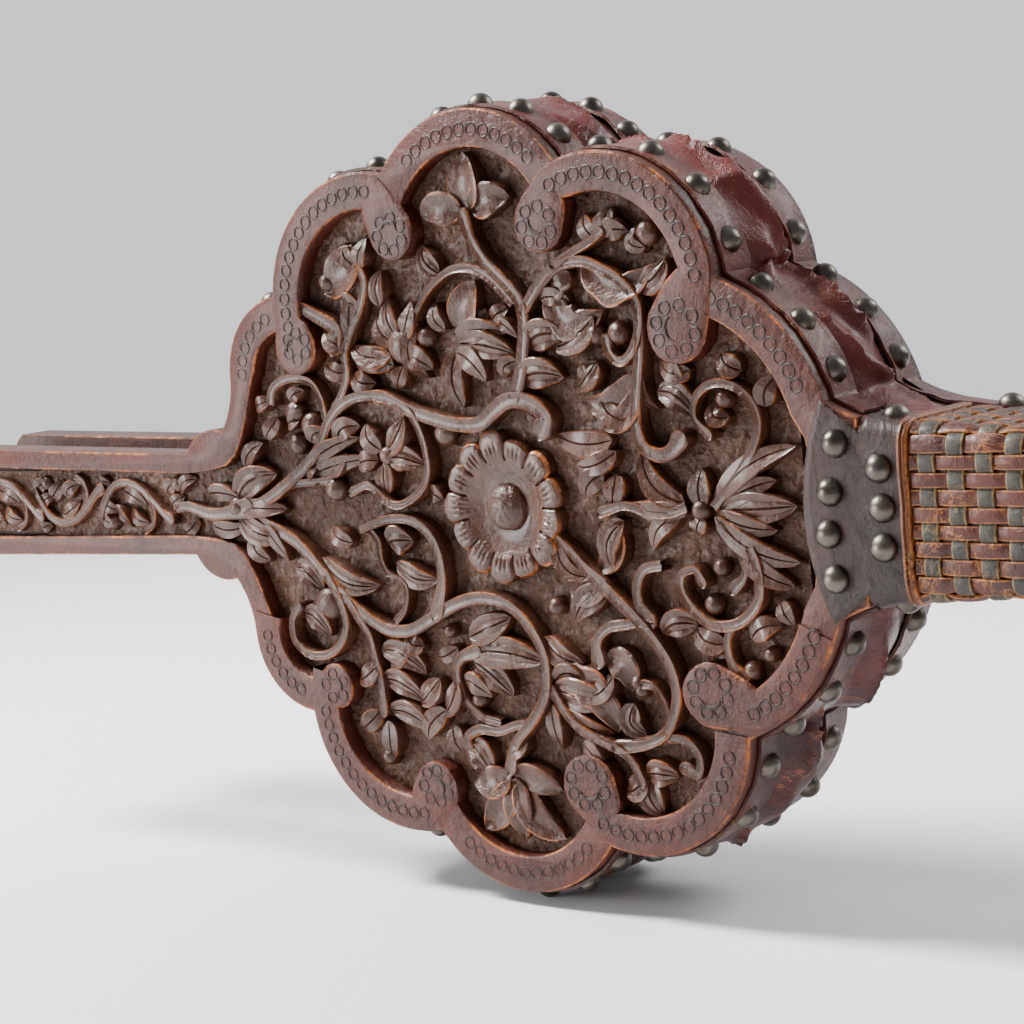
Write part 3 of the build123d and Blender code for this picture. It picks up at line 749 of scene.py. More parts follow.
# %% Stems
stems = [
    stem([(-122, 0), (-113.6, 3.6), (-104, 9), (-95.7, 14.3), (-87, 21.4), (-80, 32), (-73, 38),
          (-65.7, 40.7), (-55, 41.4), (-44, 38.6), (-37, 32), (-33.2, 21.4), (-33.6, 10.7),
          (-40.7, 3.6), (-51.4, 0.7), (-62, 7.9), (-70.7, 5.7)], 2.4, 1.5),
    stem([(-56, 41.2), (-50, 40.7), (-40.7, 36.4), (-30, 32.9), (-18, 30.4), (-7, 30.4), (0, 34.6),
          (5.7, 38), (12, 38.6), (18.6, 36.4), (23.6, 32), (21.4, 28.2)], 2.4, 3.2, -0.4),
    stem([(-114, 3), (-108.6, 7), (-98, 8.6), (-87, 9.3), (-82, 9.6)], 2.0, 1.6, -1.2),
    stem([(10, 38.4), (13.4, 47), (16, 57), (17.2, 66), (16, 73), (10, 80), (2.5, 87), (-3, 95.7),
          (-5.6, 104)], 2.6, 2.0),
    stem([(13, 72), (6, 79), (0, 83.6), (-7, 85.6), (-14, 85.2), (-20, 82.4), (-26, 78), (-31, 72),
          (-36, 65)], 1.9, 1.3, -1.2),
    stem([(17, 69), (25, 78), (31, 83), (38, 87), (48.6, 91.4), (53, 94.3)], 2.1, 1.4),
    stem([(22, 75), (27, 79.5), (34, 84), (44, 85), (52, 82), (59, 78), (65.7, 70.4), (65.7, 61.4),
          (62, 53.6), (57, 50.4), (53, 53.6), (52, 58)], 2.2, 1.7),
    stem([(66, 68.6), (65.7, 58), (64.3, 48.6), (63, 41.4), (61.8, 34), (61.6, 28), (64, 21.4),
          (70, 18.6), (75, 20), (78.5, 23.6)], 2.2, 2.6),
    stem([(-58.6, 90), (-56, 83), (-59.6, 73), (-65, 65), (-69, 57), (-69, 48.6), (-73, 41),
          (-76, 37)], 2.0, 2.0, -1.4),
    stem([(-110, 39), (-108, 45), (-101, 48.4), (-93, 48.6), (-87, 46.6), (-83.2, 41), (-82, 34)],
          2.0, 1.4, -1.4),
    stem([(-91, 76.5), (-80, 71), (-72, 66.5), (-74, 61)], 2.4, 3.4, -1.2),
    stem([(-126, -3.6), (-116, -8), (-105, -13), (-98, -18), (-91, -25), (-84, -31), (-76, -38),
          (-66, -44), (-58, -46.8), (-48, -46), (-38.6, -41.6), (-27, -36), (-16, -33), (-6, -33.4),
          (1.4, -36.4), (7.4, -42), (11.4, -48), (13.6, -55), (13, -65), (9.6, -72), (3.6, -79),
          (-3, -86), (-6.4, -95)], 2.6, 2.2),
    stem([(-69, -9), (-62, -6.6), (-55, -4.8), (-45, -4.6), (-36.5, -8.6), (-31.6, -17),
          (-31.2, -28.6), (-35, -39)], 1.5, 2.6),
    stem([(-66, -8), (-61.4, -13), (-61, -19), (-58, -25), (-50, -29.6), (-51, -38), (-56, -43)],
          1.7, 1.3, -1.8),
    stem([(-89, -26), (-84.6, -33), (-81.6, -40), (-81.2, -47), (-85, -53.4), (-92, -57.6),
          (-101, -58), (-108.4, -53), (-109, -45), (-105, -39.5)], 2.2, 1.5),
    stem([(-79, -36), (-75, -42), (-70, -49), (-68, -57), (-66, -65), (-66, -78)], 2.1, 1.8, -0.9),
    stem([(5, -78), (-3, -79.4), (-11, -82), (-20, -82), (-26.5, -86), (-24, -94)], 1.7, 2.2, -1.4),
    stem([(-10, -79), (-19, -77), (-26, -71), (-29, -62), (-26.6, -56), (-19, -53)],
          1.5, 2.2, -1.6),
    stem([(15, -64), (21, -73), (29, -79.6), (40.7, -83.4), (48, -88), (51.6, -95)], 2.2, 1.8),
    stem([(30, -80), (41, -84), (52, -81.6), (63, -79), (71.4, -79.4), (76.4, -84.4), (75.6, -90.6),
          (70.5, -89)], 1.8, 1.9, -0.9),
    stem([(42, -26.4), (47, -31), (53, -36), (59, -42), (64, -48), (67.6, -54), (69.4, -63),
          (67.4, -71), (63, -77.6), (54, -82), (43, -83.6)], 2.6, 2.0),
    stem([(23, -10), (29, -15), (35, -21), (42, -27)], 1.6, 2.6, -1.0),
    stem([(61, -40), (56.4, -39), (50, -40), (42, -41.6), (37, -46.6), (37, -53)], 1.6, 2.4, -1.0),
    stem([(68.6, -66), (66, -74), (63, -66), (59.6, -61.4), (55.6, -60.6)], 1.6, 1.3, -1.4),
    stem([(67, -19), (60, -20.4), (56.4, -25.7), (56.4, -32), (60, -38)], 1.8, 2.6, -1.0),
    stem([(79, 1), (72, -1), (64, -1), (54, 1.4), (44, -1)], 1.9, 1.6, -1.0),
    stem([(90, 1), (96, 7), (101.6, 13), (106.4, 20), (109.6, 28), (107.6, 36), (101, 41.2),
          (93, 42.2), (86.4, 38), (85, 31), (90, 25.4)], 1.8, 1.5, -1.0),
    stem([(103, -12), (105.4, -19), (105.4, -28.6), (100, -35.4), (93, -38.6), (84.6, -38),
          (78, -32.4), (74.6, -26.4), (75.6, -21.6), (80.7, -20), (83.4, -24)], 2.2, 1.6),
    stem([(92, -3), (98, -8), (100.6, -15), (99.6, -22), (95.4, -26)], 1.5, 1.8, -1.4),
    stem([(94, -38), (91, -44), (92, -51), (96, -56)], 1.5, 2.2, -1.4),
    stem([(-168, -1.5), (-160, -1), (-150, -3.6), (-140, -3.4), (-128, -1)], 2.0, 3.0, -0.6),
]
vine_waves = [(-40.0 * wave, 1 if wave % 2 == 0 else -1) for wave in range(3)]
for x, flip in vine_waves:
    stems.append(stem([(x - 214, -6 * flip), (x - 210, 1 * flip), (x - 205, 6.4 * flip),
                       (x - 198, 8.6 * flip), (x - 189.6, 7 * flip), (x - 181.6, 1.6 * flip),
                       (x - 176, -3.4 * flip), (x - 172, -6 * flip)], 1.7, 1.9, -0.6))
    stems.append(stem([(x - 186, 4.8 * flip), (x - 182, -2 * flip), (x - 182.6, -8 * flip),
                       (x - 187, -11 * flip)], 1.5, 1.2, -1.2))
stem_piece = joined("carved_stems", stems)
place(stem_piece, "carved_stems", "front_leaf", "carved_walnut", leaf_wood)

# %% [markdown]
# ## Leaves, flowers and berries
# Narrow leaves have one groove, wide ones have three, and the big acanthus leaves are scooped and
# toothed. They rise from the ground at the stem and dip again at the tip, which catches the light.
# Each leaf leans and stands a little differently, by its number in the row.

# %% Leaves
leaves = []


def put(*rows, section=LEAF, teeth=0, top=-0.9, shape=0.8):
    """Many leaves of one kind: root, tip, half width and bend."""
    for x0, y0, x1, y1, half, bend in rows:
        kind = VEINED if section is LEAF and half > 3.7 else section
        lean = 1.1 * sin(7.3 * len(leaves) + 1.0)
        full = half * (1.28 if half < 5.0 else 1.15)
        leaves.append(leaf(x0, y0, x1, y1, full, bend, kind, top + 0.4 * sin(3.1 * len(leaves)),
                           shape, teeth=teeth, tilt=lean))


# flower under the top lobe, and its fellow at the bottom
put((-5, 105, -5, 126, 6.4, 0), (-7, 105, -27, 105, 5.4, -0.1), (-4, 105, 14, 109, 5.6, 0.1),
    section=SCOOP, top=-0.6)
put((-8, -99, -26, -100, 4.8, 0.1), (-7, -98, 16, -103, 5.0, 0.08), (-6, -99, -4, -122, 6.0, 0),
    (-8, -100, -23, -120, 4.8, 0.1), (-5, -100, 14, -120, 4.8, -0.1), section=SCOOP, top=-0.6)
# buds and leaves along the stems of the upper half
put((-20, 84, -28, 95, 3.8, 0.1), (16.4, 57, 33, 60, 4.6, 0.15), (11.4, 45, 31, 45.7, 5.0, 0.12),
    (3, 66, 12, 60, 2.2, 0.2), (40, 46, 45, 48, 2.6, 0), (12, 52, 5, 46, 2.4, -0.2))
put((50, 92, 45.5, 101, 3.2, 0.1), (52, 93, 56, 102.5, 3.2, -0.1), (53, 93.6, 63, 94, 3.2, 0.1))
put((27, 80, 37, 82, 4.8, -0.2), (28, 76, 50, 68, 5.4, -0.35), (44, 85, 72, 82, 5.2, -0.3),
    section=SCOOP, teeth=3)
put((62, 47, 38, 38, 5.4, 0.28), (62, 42, 46, 28, 3.4, 0.2), (64, 48, 70, 34, 2.6, -0.2),
    section=SCOOP)
put((60, 30, 46, 38, 3.2, 0.12), (66, 76, 77, 84, 4.0, -0.2), (70, 88, 66, 95, 2.4, 0.4))
# flower inside the upper loop
put((-13, 63, -5, 81, 6.4, 0.05), (-12, 62, -1, 71, 3.6, -0.2), section=SCOOP, top=-0.5)
put((-15, 59, 11, 54, 4.2, 0.06), (-15, 61, 7, 62, 3.4, 0.1), (-16, 56, -4, 45, 3.6, 0.15),
    (-16, 56, -15, 36, 3.6, -0.08), (2, 66, 9, 70, 3.0, 0.1), (-20, 64, -24, 74, 2.6, 0.1))
put((46, 66, 28, 56, 4.6, 0.1), (46, 51, 37, 42, 4.0, 0.1), (24, 73, 36, 72, 2.8, 0.1),
    (-34, 66, -30, 47, 2.6, -0.25))
# trefoil beside it
put((-43, 62, -46, 77, 3.8, 0.1), (-41, 62, -35.5, 75, 3.2, -0.15), (-44, 60, -53, 70, 3.0, 0.1))
put((-47, 56, -66, 60, 3.4, 0.12), (-46, 52, -65, 52, 3.4, -0.1), (-40, 56, -28, 50, 3.6, 0.12),
    (-42, 52, -46, 43.6, 2.8, 0.1))
# upper left
put((-61, 97, -78, 80, 6.6, 0.12), section=SCOOP)
put((-66, 60, -60, 84, 2.8, 0.06), (-95, 14, -67, 26, 2.6, 0.06), (-92, 12, -62, 18, 2.6, 0.03),
    (-119, 38, -110, 41, 2.6, 0))
put((-50, 74, -48, 87, 3.8, 0.1), (-59, 88, -54, 99, 3.0, 0), (-60, 89, -66, 98, 2.8, 0.1),
    (-68, 60, -79, 66, 3.2, 0.1), (-70, 50, -80, 54, 3.0, 0.1), (-66, 50, -56, 46, 3.4, -0.15),
    (-60, 75, -70, 80, 3.0, 0.1))
put((-108, 34, -116, 26, 2.8, 0.1), (-100, 40, -93, 44, 2.4, 0.1), (-96, 33, -103, 30, 2.6, -0.1),
    (-91, 24, -84, 28, 3.0, 0.2))
# flower inside the spiral, left of the rosette
put((-56, 21, -63, 31, 3.6, 0.1), (-54, 21, -44, 34, 4.0, -0.15), (-53, 18, -37, 15, 4.0, 0.12),
    (-56, 16, -56, 4.4, 3.8, 0.1), (-58, 17, -69, 15, 3.4, -0.1))
put((-34, 6, -28, 2, 3.0, 0.1), (-78, 24, -66, 30, 3.6, 0.2), (-84, 14, -74, 20, 3.2, -0.15),
    (-96, 10, -88, 16, 2.8, 0.1))
# palmette on the right
put((84, 1, 85, 14, 3.6, 0), (84, -2, 82, -9, 3.2, 0))
put((78, 2, 61, 19, 3.4, 0.16), (76, -2, 63, -14, 3.0, -0.16), (79, 0, 54, 1.6, 3.0, 0.05))
put((89, 1, 122, 21, 3.4, 0.1), (92, 1, 114, 10, 3.2, 0.06), (92, 0, 121, 1.6, 4.6, 0.0),
    (90, -1, 113, -6.4, 3.2, -0.05), (89, -2, 121, -17, 3.4, -0.1), (98, -12, 118, -25, 3.2, -0.08))
put((70, 40, 84, 31, 3.8, 0.2), (84, 47, 72, 50, 3.0, 0.2), (104, 46, 96, 52, 3.2, 0.1),
    (112, 34, 117, 44, 3.0, 0.1))
put((90, -45, 78, -40, 3.6, 0.15), (79, -39, 64, -43, 4.0, -0.15), (100, -43, 112, -38, 3.4, 0.15),
    (112, -30, 116, -38, 2.6, 0.1))
put((74, 50, 80, 42, 3.0, 0.1), (98, 31, 92, 36, 2.6, 0.35))
# next to the rosette, right
put((50, 24, 26, 26, 3.6, 0.1), (51, 20, 33, 15, 3.2, 0.12), (45, 12, 36, 4, 3.6, -0.12),
    (50, 12, 47, 1, 3.4, 0.12))
put((46, -4, 38, -22, 4.4, 0.25), section=SCOOP)
put((52, -4, 46, -22, 4.2, -0.2), (42, -26, 26, -30, 3.6, 0.14), (43, -29, 27, -40, 4.2, -0.12),
    (22, -11, 37, -24, 2.6, -0.25))
# lower right
put((39, -53, 49, -64, 4.6, 0.35), section=SCOOP)
put((50, -68, 54, -79, 4.0, -0.3), (42, -58, 28, -66, 3.2, 0.2), (52, -94, 43, -100, 3.8, 0.14),
    (53, -93, 66, -93, 4.0, 0.1), (53, -95, 58, -107, 4.0, -0.08))
put((17, -60, 42, -79, 6.0, 0.22), section=SCOOP, teeth=3)
put((13, -46, 29, -55, 3.8, -0.12), (13, -70, 16, -87, 3.4, 0.06), (16, -62, 30, -62, 3.0, 0.25),
    (26, -84, 34, -92, 3.2, 0.15))
# lower middle
put((-22, -48, -2, -40, 5.0, 0.0), (-22, -54, 11, -56, 5.4, 0.08), (-21, -57, -4, -69, 5.0, 0.1))
put((15, -65, 41, -68, 5.6, 0.0), (18, -72, 40, -79, 3.2, -0.08), (-26, -64, -14, -70, 3.4, 0.15),
    (-15, -53, -4, -45, 3.4, 0.15), (-27, -88, -18, -99, 4.0, 0.25), (-28, -52, -38, -56, 2.6, 0.1),
    (1, -84, -10, -90, 2.6, 0.15))
put((-30, -64, -38, -78, 3.6, 0.15), (-38, -64, -49, -74, 3.8, 0.1),
    (-36, -76, -47, -88, 3.6, -0.1), (-34, -82, -31, -92, 3.2, 0.1))
# lower left
put((-66, -55, -45, -63, 3.8, 0.16), (-66, -66, -46, -74, 3.8, 0.16),
    (-64, -78, -43, -86, 3.8, 0.16), (-68, -60, -79, -67, 3.4, 0.12),
    (-66, -82, -66, -97, 3.4, 0.1), (-69, -78, -80, -86, 3.2, 0.1), (-62, -60, -52, -53, 3.0, -0.1))
put((-92, -20, -64, -30, 4.0, -0.14), (-54, -21, -35, -27, 4.0, -0.12),
    (-57, -14, -45, -13, 4.6, 0.1), (-104, -42, -92, -51, 3.8, 0.2),
    (-106, -24, -94, -33, 4.0, 0.2), (-98, -38, -86, -42, 3.4, 0.2), (-75, -14, -85, -8, 3.0, 0.1),
    (-44, -52, -52, -48, 3.0, 0.2))
# calyx where the plant leaves the handle
put((-134, 2, -112, 12, 4.6, 0.12), (-134, -4, -112, -12, 4.4, -0.12),
    (-134, -0.5, -108, -1.5, 3.0, 0), top=-0.4)
put((-128, 14, -118, 24, 3.4, 0.12), (-128, -12, -120, -22, 3.4, -0.12),
    (-122, -8, -110, -22, 3.2, 0.1))
put((-150, 4, -132, 2, 3.0, 0.1), (-150, -8, -130, -8, 3.0, -0.1), (-166, 4, -156, 10, 2.4, 0.2),
    (-158, -6, -168, -11, 2.4, 0.2))
for x, flip in vine_waves:
    put((x - 200, 5 * flip, x - 188, -1 * flip, 2.8, 0.12 * flip),
        (x - 196, -2 * flip, x - 187, -8 * flip, 2.6, -0.12 * flip),
        (x - 206, -2 * flip, x - 198, -10 * flip, 2.6, 0.15 * flip),
        (x - 174, 4 * flip, x - 166, 9 * flip, 2.6, 0.1 * flip),
        (x - 172, -2 * flip, x - 164, 3 * flip, 2.4, 0.1 * flip),
        (x - 208, 9 * flip, x - 214, 11 * flip, 2.0, 0.1))
put((-294, -5, -310, -1, 3.4, 0.12), (-297, 0, -306, 8, 2.8, 0.1), (-292, -8, -303, -11, 2.4, 0.1))
print("leaves", len(leaves))

BERRIES = ((-81.4, 6.4, 4.4, -0.2), (55.7, 60, 3.9, -0.4), (-41.4, 59.3, 6.3, -0.3), (-99, 36, 4.0),
           (-91.4, 30.7, 4.6), (-99, 23.6, 4.0), (-25, 27, 4.6, -0.6), (90, -19.3, 3.0),
           (85.7, -32, 3.4), (53.6, -63, 2.8), (99, -54, 3.2), (19, -35, 3.2), (-31, -46, 2.6),
           (-41.4, -71, 3.4), (-91.4, -38, 5.8, -0.3), (-43, -69, 4.2), (70, 92.5, 4.0),
           (-67, -96, 3.2), (-97, 37, 2.4), (84, 0, 3.4, 0.0), (-53.5, 19, 3.6, -0.6),
           (46, 60, 3.4), (-134.5, -1, 4.4, 0.0), (-121, 12, 4.6), (-168, 8, 3.4), (-208, -8, 3.2),
           (-248, 8, 3.2), (-288, -8, 3.2), (96, 37, 3.2), (52, -60.6, 2.8), (-30, 62, 3.6),
           (-76, 84, 3.4), (30, 60, 2.8), (-20, -71, 3.0), (107, -48, 2.6))
berries = [berry(*row) for row in BERRIES]
leaf_piece = joined("carved_leaves", leaves + berries)
place(leaf_piece, "carved_leaves", "front_leaf", "carved_walnut", leaf_wood, smooth=42)

# %% [markdown]
# ## Rosette
# A shallow dish ringed by thirteen petals, each cut by short gouge marks, with a rough matted
# knob in the middle. The dish is a flat grid bent into a ring, whose rim swells into petals.

# %% Rosette
PETALS = 13
bpy.ops.object.select_all(action="DESELECT")
bpy.ops.mesh.primitive_grid_add(x_subdivisions=26, y_subdivisions=PETALS * 16, size=2)
dish = bpy.context.object
for vertex in dish.data.vertices:
    u = (vertex.co.x + 1) / 2
    angle = (vertex.co.y + 1) * pi
    petal = (angle * PETALS / (2 * pi)) % 1.0
    swell = abs(sin(pi * petal)) ** 0.45
    index = int(angle * PETALS / (2 * pi) + 1e-6) % PETALS
    uneven = 1.2 * sin(index * 2.4) + 0.5 * sin(index * 5.1)
    rim = 23.2 + 3.6 * swell + uneven * swell
    if u < 0.12:
        radius, height = 7.6 + 0.6 * u / 0.12, -5.2
    else:
        radius = 8.2 + (rim - 8.2) * (u - 0.12) / 0.8
        dishing = min(1.0, max(0.0, (radius - 9) / 11))
        height = -4.9 + 3.7 * dishing ** 1.5
        if radius > 17:
            height += 0.9 * swell - 0.5 - 1.3 * max(0.0, (radius - 22.5) / 6) ** 2
            cut = min(abs(petal - 0.3), abs(petal - 0.5), abs(petal - 0.7))
            height -= 0.75 * max(0.0, 1 - cut / 0.05) * max(0.0, 1 - abs(radius - 20.3) / 4.0)
            height -= 1.0 * max(0.0, 1 - min(petal, 1 - petal) / 0.07)
    if u > 0.921:
        radius, height = rim + 0.25, -2.6
    if u > 0.98:
        radius, height = rim - 0.3, GROUND - 0.5
    vertex.co = Vector((radius * cos(angle), radius * sin(angle), height))
on_rim = [hypot(*p.center[:2]) > 22.5 and -3.2 < p.center.z < -1.0 and p.normal.z < 0.8
          for p in dish.data.polygons]
add_wear(dish, [0.95 if rubbed else 0.0 for rubbed in on_rim])
bpy.ops.object.select_all(action="DESELECT")
bpy.ops.mesh.primitive_uv_sphere_add(segments=40, ring_count=20, radius=8.6, location=(0, 0, -5.4))
knob = bpy.context.object
knob.scale = (1, 1, 0.62)
bpy.ops.object.transform_apply(location=True, scale=True)
for vertex in knob.data.vertices:
    way = vertex.co - Vector((0, 0, -5.4))
    vertex.co += way.normalized() * noise.noise(vertex.co / 1.7) * 0.5
    if vertex.co.z < GROUND:
        vertex.co.z = GROUND - 0.2
add_wear(knob)
rosette_piece = joined("rosette", [dish, knob])
merged(rosette_piece, 0.01, outward=True)
place(rosette_piece, "rosette", "front_leaf", "carved_walnut", leaf_wood, smooth=44)

# %% [markdown]
# ## Old leather
# The gusset is wine red leather, near black over most of it, with red in patches and a lighter red
# towards one point at the top of the nose end, and orange hide in the cracks. A crack is where
# warped noise crosses its middle value, and the fine pebble is noise too. Cut edges get their own
# pale, raw finish.

# %% Leather finishes
def leather_finish(name, dark, light, crack, gloss, cracked=1.0, streak=(1, 1, 1), red_at=None):
    material, sheet, shader = new_finish(name, {"Specular IOR Level": 0.4, "Coat Roughness": 0.25})
    where = object_space(sheet)
    long_way = object_space(sheet, streak)
    cloud = grain_noise(sheet, where, 22.0, 5.0, 0.65, 0.4)
    pebble = grain_noise(sheet, where, 700.0, 3.0, 0.6)
    warped = grain_noise(sheet, long_way, 55.0, 6.0, 0.72, 1.6)
    tone = cloud.clamp(0.36, 0.64)
    if red_at is not None:
        spread = sheet.node("ShaderNodeVectorMath", {"operation": "DISTANCE"},
                            {0: where, 1: red_at}, out=1)
        tone = (tone * 0.55 + (1.0 - spread.clamp(0.06, 0.19)) * 0.75).clamp(0.0, 1.1)
    body = tone.blend(dark, light)
    lines = 1.0 - sheet.node("ShaderNodeMath", {"operation": "ABSOLUTE"},
                             {0: warped - 0.5}).clamp(0.0, 0.022)
    patch = grain_noise(sheet, where, 48.0, 3.0, 0.6).clamp(0.5, 0.62)
    marks = lines * patch * cracked
    edge = sheet.node("ShaderNodeAttribute", {"attribute_name": "wear"}, out=2)
    rub = (marks + edge * pebble.clamp(0.3, 0.6)).clamp(0.0, 1.0)
    coloured = rub.blend(body, crack)
    folds = relief(sheet, warped, 0.5, 0.0035)
    bump = relief(sheet, pebble + lines * 0.5, 0.35, 0.0005, folds)
    rough = cloud.clamp(0.3, 0.7) * 0.18 + pebble.clamp(0.3, 0.7) * 0.08 + gloss
    connect(sheet, shader, Base_Color=coloured, Roughness=rough, Normal=bump,
            Coat_Weight=cloud.clamp(0.3, 0.7) * 0.16 + 0.02)
    return material


# A point above the gusset near the nose end: gusset and strip leather turn a lighter red towards
# it.
top_right = tuple(rosette + Vector((0.095, 0.03, 0.085)))
gusset_leather = leather_finish("gusset_leather", (0.012, 0.006, 0.0065), (0.115, 0.012, 0.008),
                                (0.36, 0.10, 0.03), 0.26, 0.75, red_at=top_right)
strip_leather = leather_finish("strip_leather", (0.016, 0.0075, 0.007), (0.100, 0.017, 0.010),
                               (0.44, 0.18, 0.045), 0.28, 0.6, red_at=top_right)
patch_hide = leather_finish("patch_leather", (0.011, 0.0045, 0.0032), (0.030, 0.0095, 0.0065),
                            (0.16, 0.040, 0.022), 0.36, 0.45, (1.6, 1, 0.7))
red_strand = leather_finish("red_strand", (0.022, 0.0034, 0.0016), (0.072, 0.0110, 0.0040),
                            (0.46, 0.17, 0.035), 0.30, 0.8)
grey_strand = leather_finish("grey_strand", (0.012, 0.0105, 0.0078), (0.036, 0.031, 0.022),
                             (0.34, 0.20, 0.07), 0.36, 0.6)
binding_hide = leather_finish("binding_leather", (0.030, 0.0056, 0.0026), (0.090, 0.0165, 0.0060),
                              (0.46, 0.16, 0.030), 0.3, 0.9)
valve_hide = leather_finish("valve_leather", (0.045, 0.026, 0.016), (0.10, 0.060, 0.036),
                            (0.20, 0.12, 0.07), 0.42, 0.3)


def raw_edge(name, dark, light):
    material, sheet, shader = new_finish(name, {"Specular IOR Level": 0.3})
    where = object_space(sheet)
    fray = grain_noise(sheet, where, 420.0, 4.0, 0.7)
    connect(sheet, shader, Base_Color=fray.clamp(0.35, 0.65).blend(dark, light),
            Roughness=fray * 0.3 + 0.55, Normal=relief(sheet, fray, 0.5, 0.0005))
    return material


hide_edge = raw_edge("raw_hide", (0.10, 0.030, 0.012), (0.46, 0.21, 0.06))

# %% [markdown]
# ## Leather skin round the rim
# A strip of leather follows the rim, puckers between its nails and bulges where nothing holds it.
# It is a grid: along it runs the rim, across it runs the depth. Solidify gives it its thickness,
# and its cut edges the raw finish.

# %% Skins
def along_rim(grow, stop_x, start_angle=180.0, neck=False):
    """Points and outward normals along the upper rim, evenly spaced, from the handle to stop_x."""
    points = lobe_arc(0, grow, start=start_angle)
    for index in range(1, 5):
        points += lobe_arc(index, grow, end=16.0 if index == 4 else None)
    points += arc_between((135.3, 35.3 + grow), (149.0, 29.9 + grow), (HEAD_X, HEAD_HALF + grow),
                          8)[1:]
    if neck:
        points += [(NOSE_X - 0.4, NOSE_HALF + grow)]
    line = [points[0]]
    for point in points[1:]:
        if hypot(point[0] - line[-1][0], point[1] - line[-1][1]) > 0.05:
            line.append(point)
    line = np.array(line)
    run = np.concatenate([[0], np.cumsum(np.hypot(*np.diff(line, axis=0).T))])
    run_stop = run[-1]
    if stop_x < line[-1, 0]:
        late = run > run[-1] * 0.7
        order = np.argsort(line[late, 0])
        run_stop = np.interp(stop_x, line[late, 0][order], run[late][order])
    count = int(run_stop / 1.7)
    at = np.linspace(0, run_stop, count)
    x, y = np.interp(at, run, line[:, 0]), np.interp(at, run, line[:, 1])
    spots = np.stack([x, y], axis=1)
    way = np.gradient(spots, axis=0)
    way /= np.linalg.norm(way, axis=1, keepdims=True)
    out = np.stack([-way[:, 1], way[:, 0]], axis=1)
    for _ in range(2):
        out[1:-1] = (out[:-2] + 2 * out[1:-1] + out[2:]) / 4
    out /= np.linalg.norm(out, axis=1, keepdims=True)
    return spots, out, at


def skin(spots, out, depths, swell, thickness):
    """A grid along the rim: depths are its rows, swell(k, row) its stand-off from the rim."""
    rows, columns = len(spots), len(depths)
    co = np.zeros((rows, columns, 3))
    for k in range(rows):
        for j in range(columns):
            off, slide = swell(k, j)
            co[k, j] = (spots[k, 0] + out[k, 0] * off, spots[k, 1] + out[k, 1] * off,
                        -(depths[j] + slide))
    piece = strip_through(co)
    normal = piece.data.polygons[len(piece.data.polygons) // 2].normal
    middle = out[rows // 2]
    if normal.x * middle[0] + normal.y * middle[1] < 0:
        piece.data.flip_normals()
    thicken(piece, thickness)
    return piece


def ripple(x, y, z, size, seed=0.0):
    """Smooth noise between -1 and 1 whose swells are this many millimetres wide."""
    return noise.noise(Vector((x / size, y / size + seed, z / size)))


# %% Gusset
def gusset_half(flip):
    """The upper or lower half of the skin between the boards."""
    spots, out, _ = along_rim(0.0, 161.0)
    back = np.array([(-129.6, y) for y in np.arange(0.0, 49.0, 1.8)])
    back_out = np.tile([(-1.0, 0.0)], (len(back), 1))
    spots, out = np.vstack([back, spots]), np.vstack([back_out, out])
    depths = np.linspace(20.35, 45.65, 15)

    def swell(k, j):
        t = j / 14
        x, y = spots[k]
        held = sin(pi * t)
        calm = min(1.0, max(0.0, (161.0 - x) / 26.0)) if x > -120 else 0.25
        near_nose = 1.0 + 1.1 * max(0.0, min(1.0, (x - 40) / 60))
        diagonal = ripple(x + 30 * t, y + 22 * t * flip, 0.0, 27.0, 3.0 * flip)
        fold = (1 - abs(diagonal) * 2.0) ** 3
        waves = ripple(x, y, t * 16, 18.0, 7.0)
        off = 0.4 + held * calm * (2.0 + 3.2 * near_nose * fold + 2.2 * near_nose * waves)
        return max(0.1, min(off, 8.5)), 0.0

    piece = skin(spots, out, depths, swell, 1.2)
    if flip < 0:
        flip_over(piece)
    return piece


gusset = joined("gusset", [gusset_half(1), gusset_half(-1)])
merged(gusset, 0.02)
add_wear(gusset)
gusset = place(gusset, "gusset", None, "gusset_leather", gusset_leather, gusset_leather, smooth=70)
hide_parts("leather_gusset")
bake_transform(gusset)

# %% [markdown]
# ## Nailed strips
# A narrow strip covers the edge of the gusset on each board. Its cut edge is uneven and rises
# between the nails.

# %% Strips
def rim_strip(name, near, far, stop_x, neck, body, node, seed):
    """A strip between two depths, from the handle to stop_x, that replaces a node."""
    halves = []
    for flip in (1, -1):
        spots, out, at = along_rim(0.2, stop_x, 176.0, neck)
        depths = np.linspace(near, far, 9)
        inner = 8 if near < 20 else 0

        def swell(k, j):
            x, y = spots[k]
            pucker = 0.45 + 0.45 * sin(at[k] / 7.5) + 0.7 * ripple(x, y, j * 2.0, 8.0, seed + flip)
            rise = 1.0 if j == inner else (0.55 if abs(j - inner) == 1 else 0.0)
            off = 1.15 + 0.25 * pucker + rise * (0.35 + 0.8 * max(0.0, pucker))
            slide = 0.0
            if j in (0, 8):
                slide = 0.8 * ripple(x, y, j, 6.0, seed) + 0.35 * ripple(x, y, j, 1.9, seed)
            return off, slide

        half = skin(spots, out, depths, swell, 1.1)
        if flip < 0:
            flip_over(half)
        halves.append(half)
    strip = joined(name, halves)
    add_wear(strip)
    slots = [p.material_index for p in strip.data.polygons]
    strip = place(strip, name, body, "dark_leather", strip_leather, hide_edge, smooth=50)
    strip.data.polygons.foreach_set("material_index", slots)
    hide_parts(node)


rim_strip("front_rim_strip", 5.6, 19.6, 146.4, False, "front_leaf", "front_strip", 1.0)
rim_strip("back_rim_strip", 46.4, 60.4, 400.0, True, "base", "back_strip", 5.0)
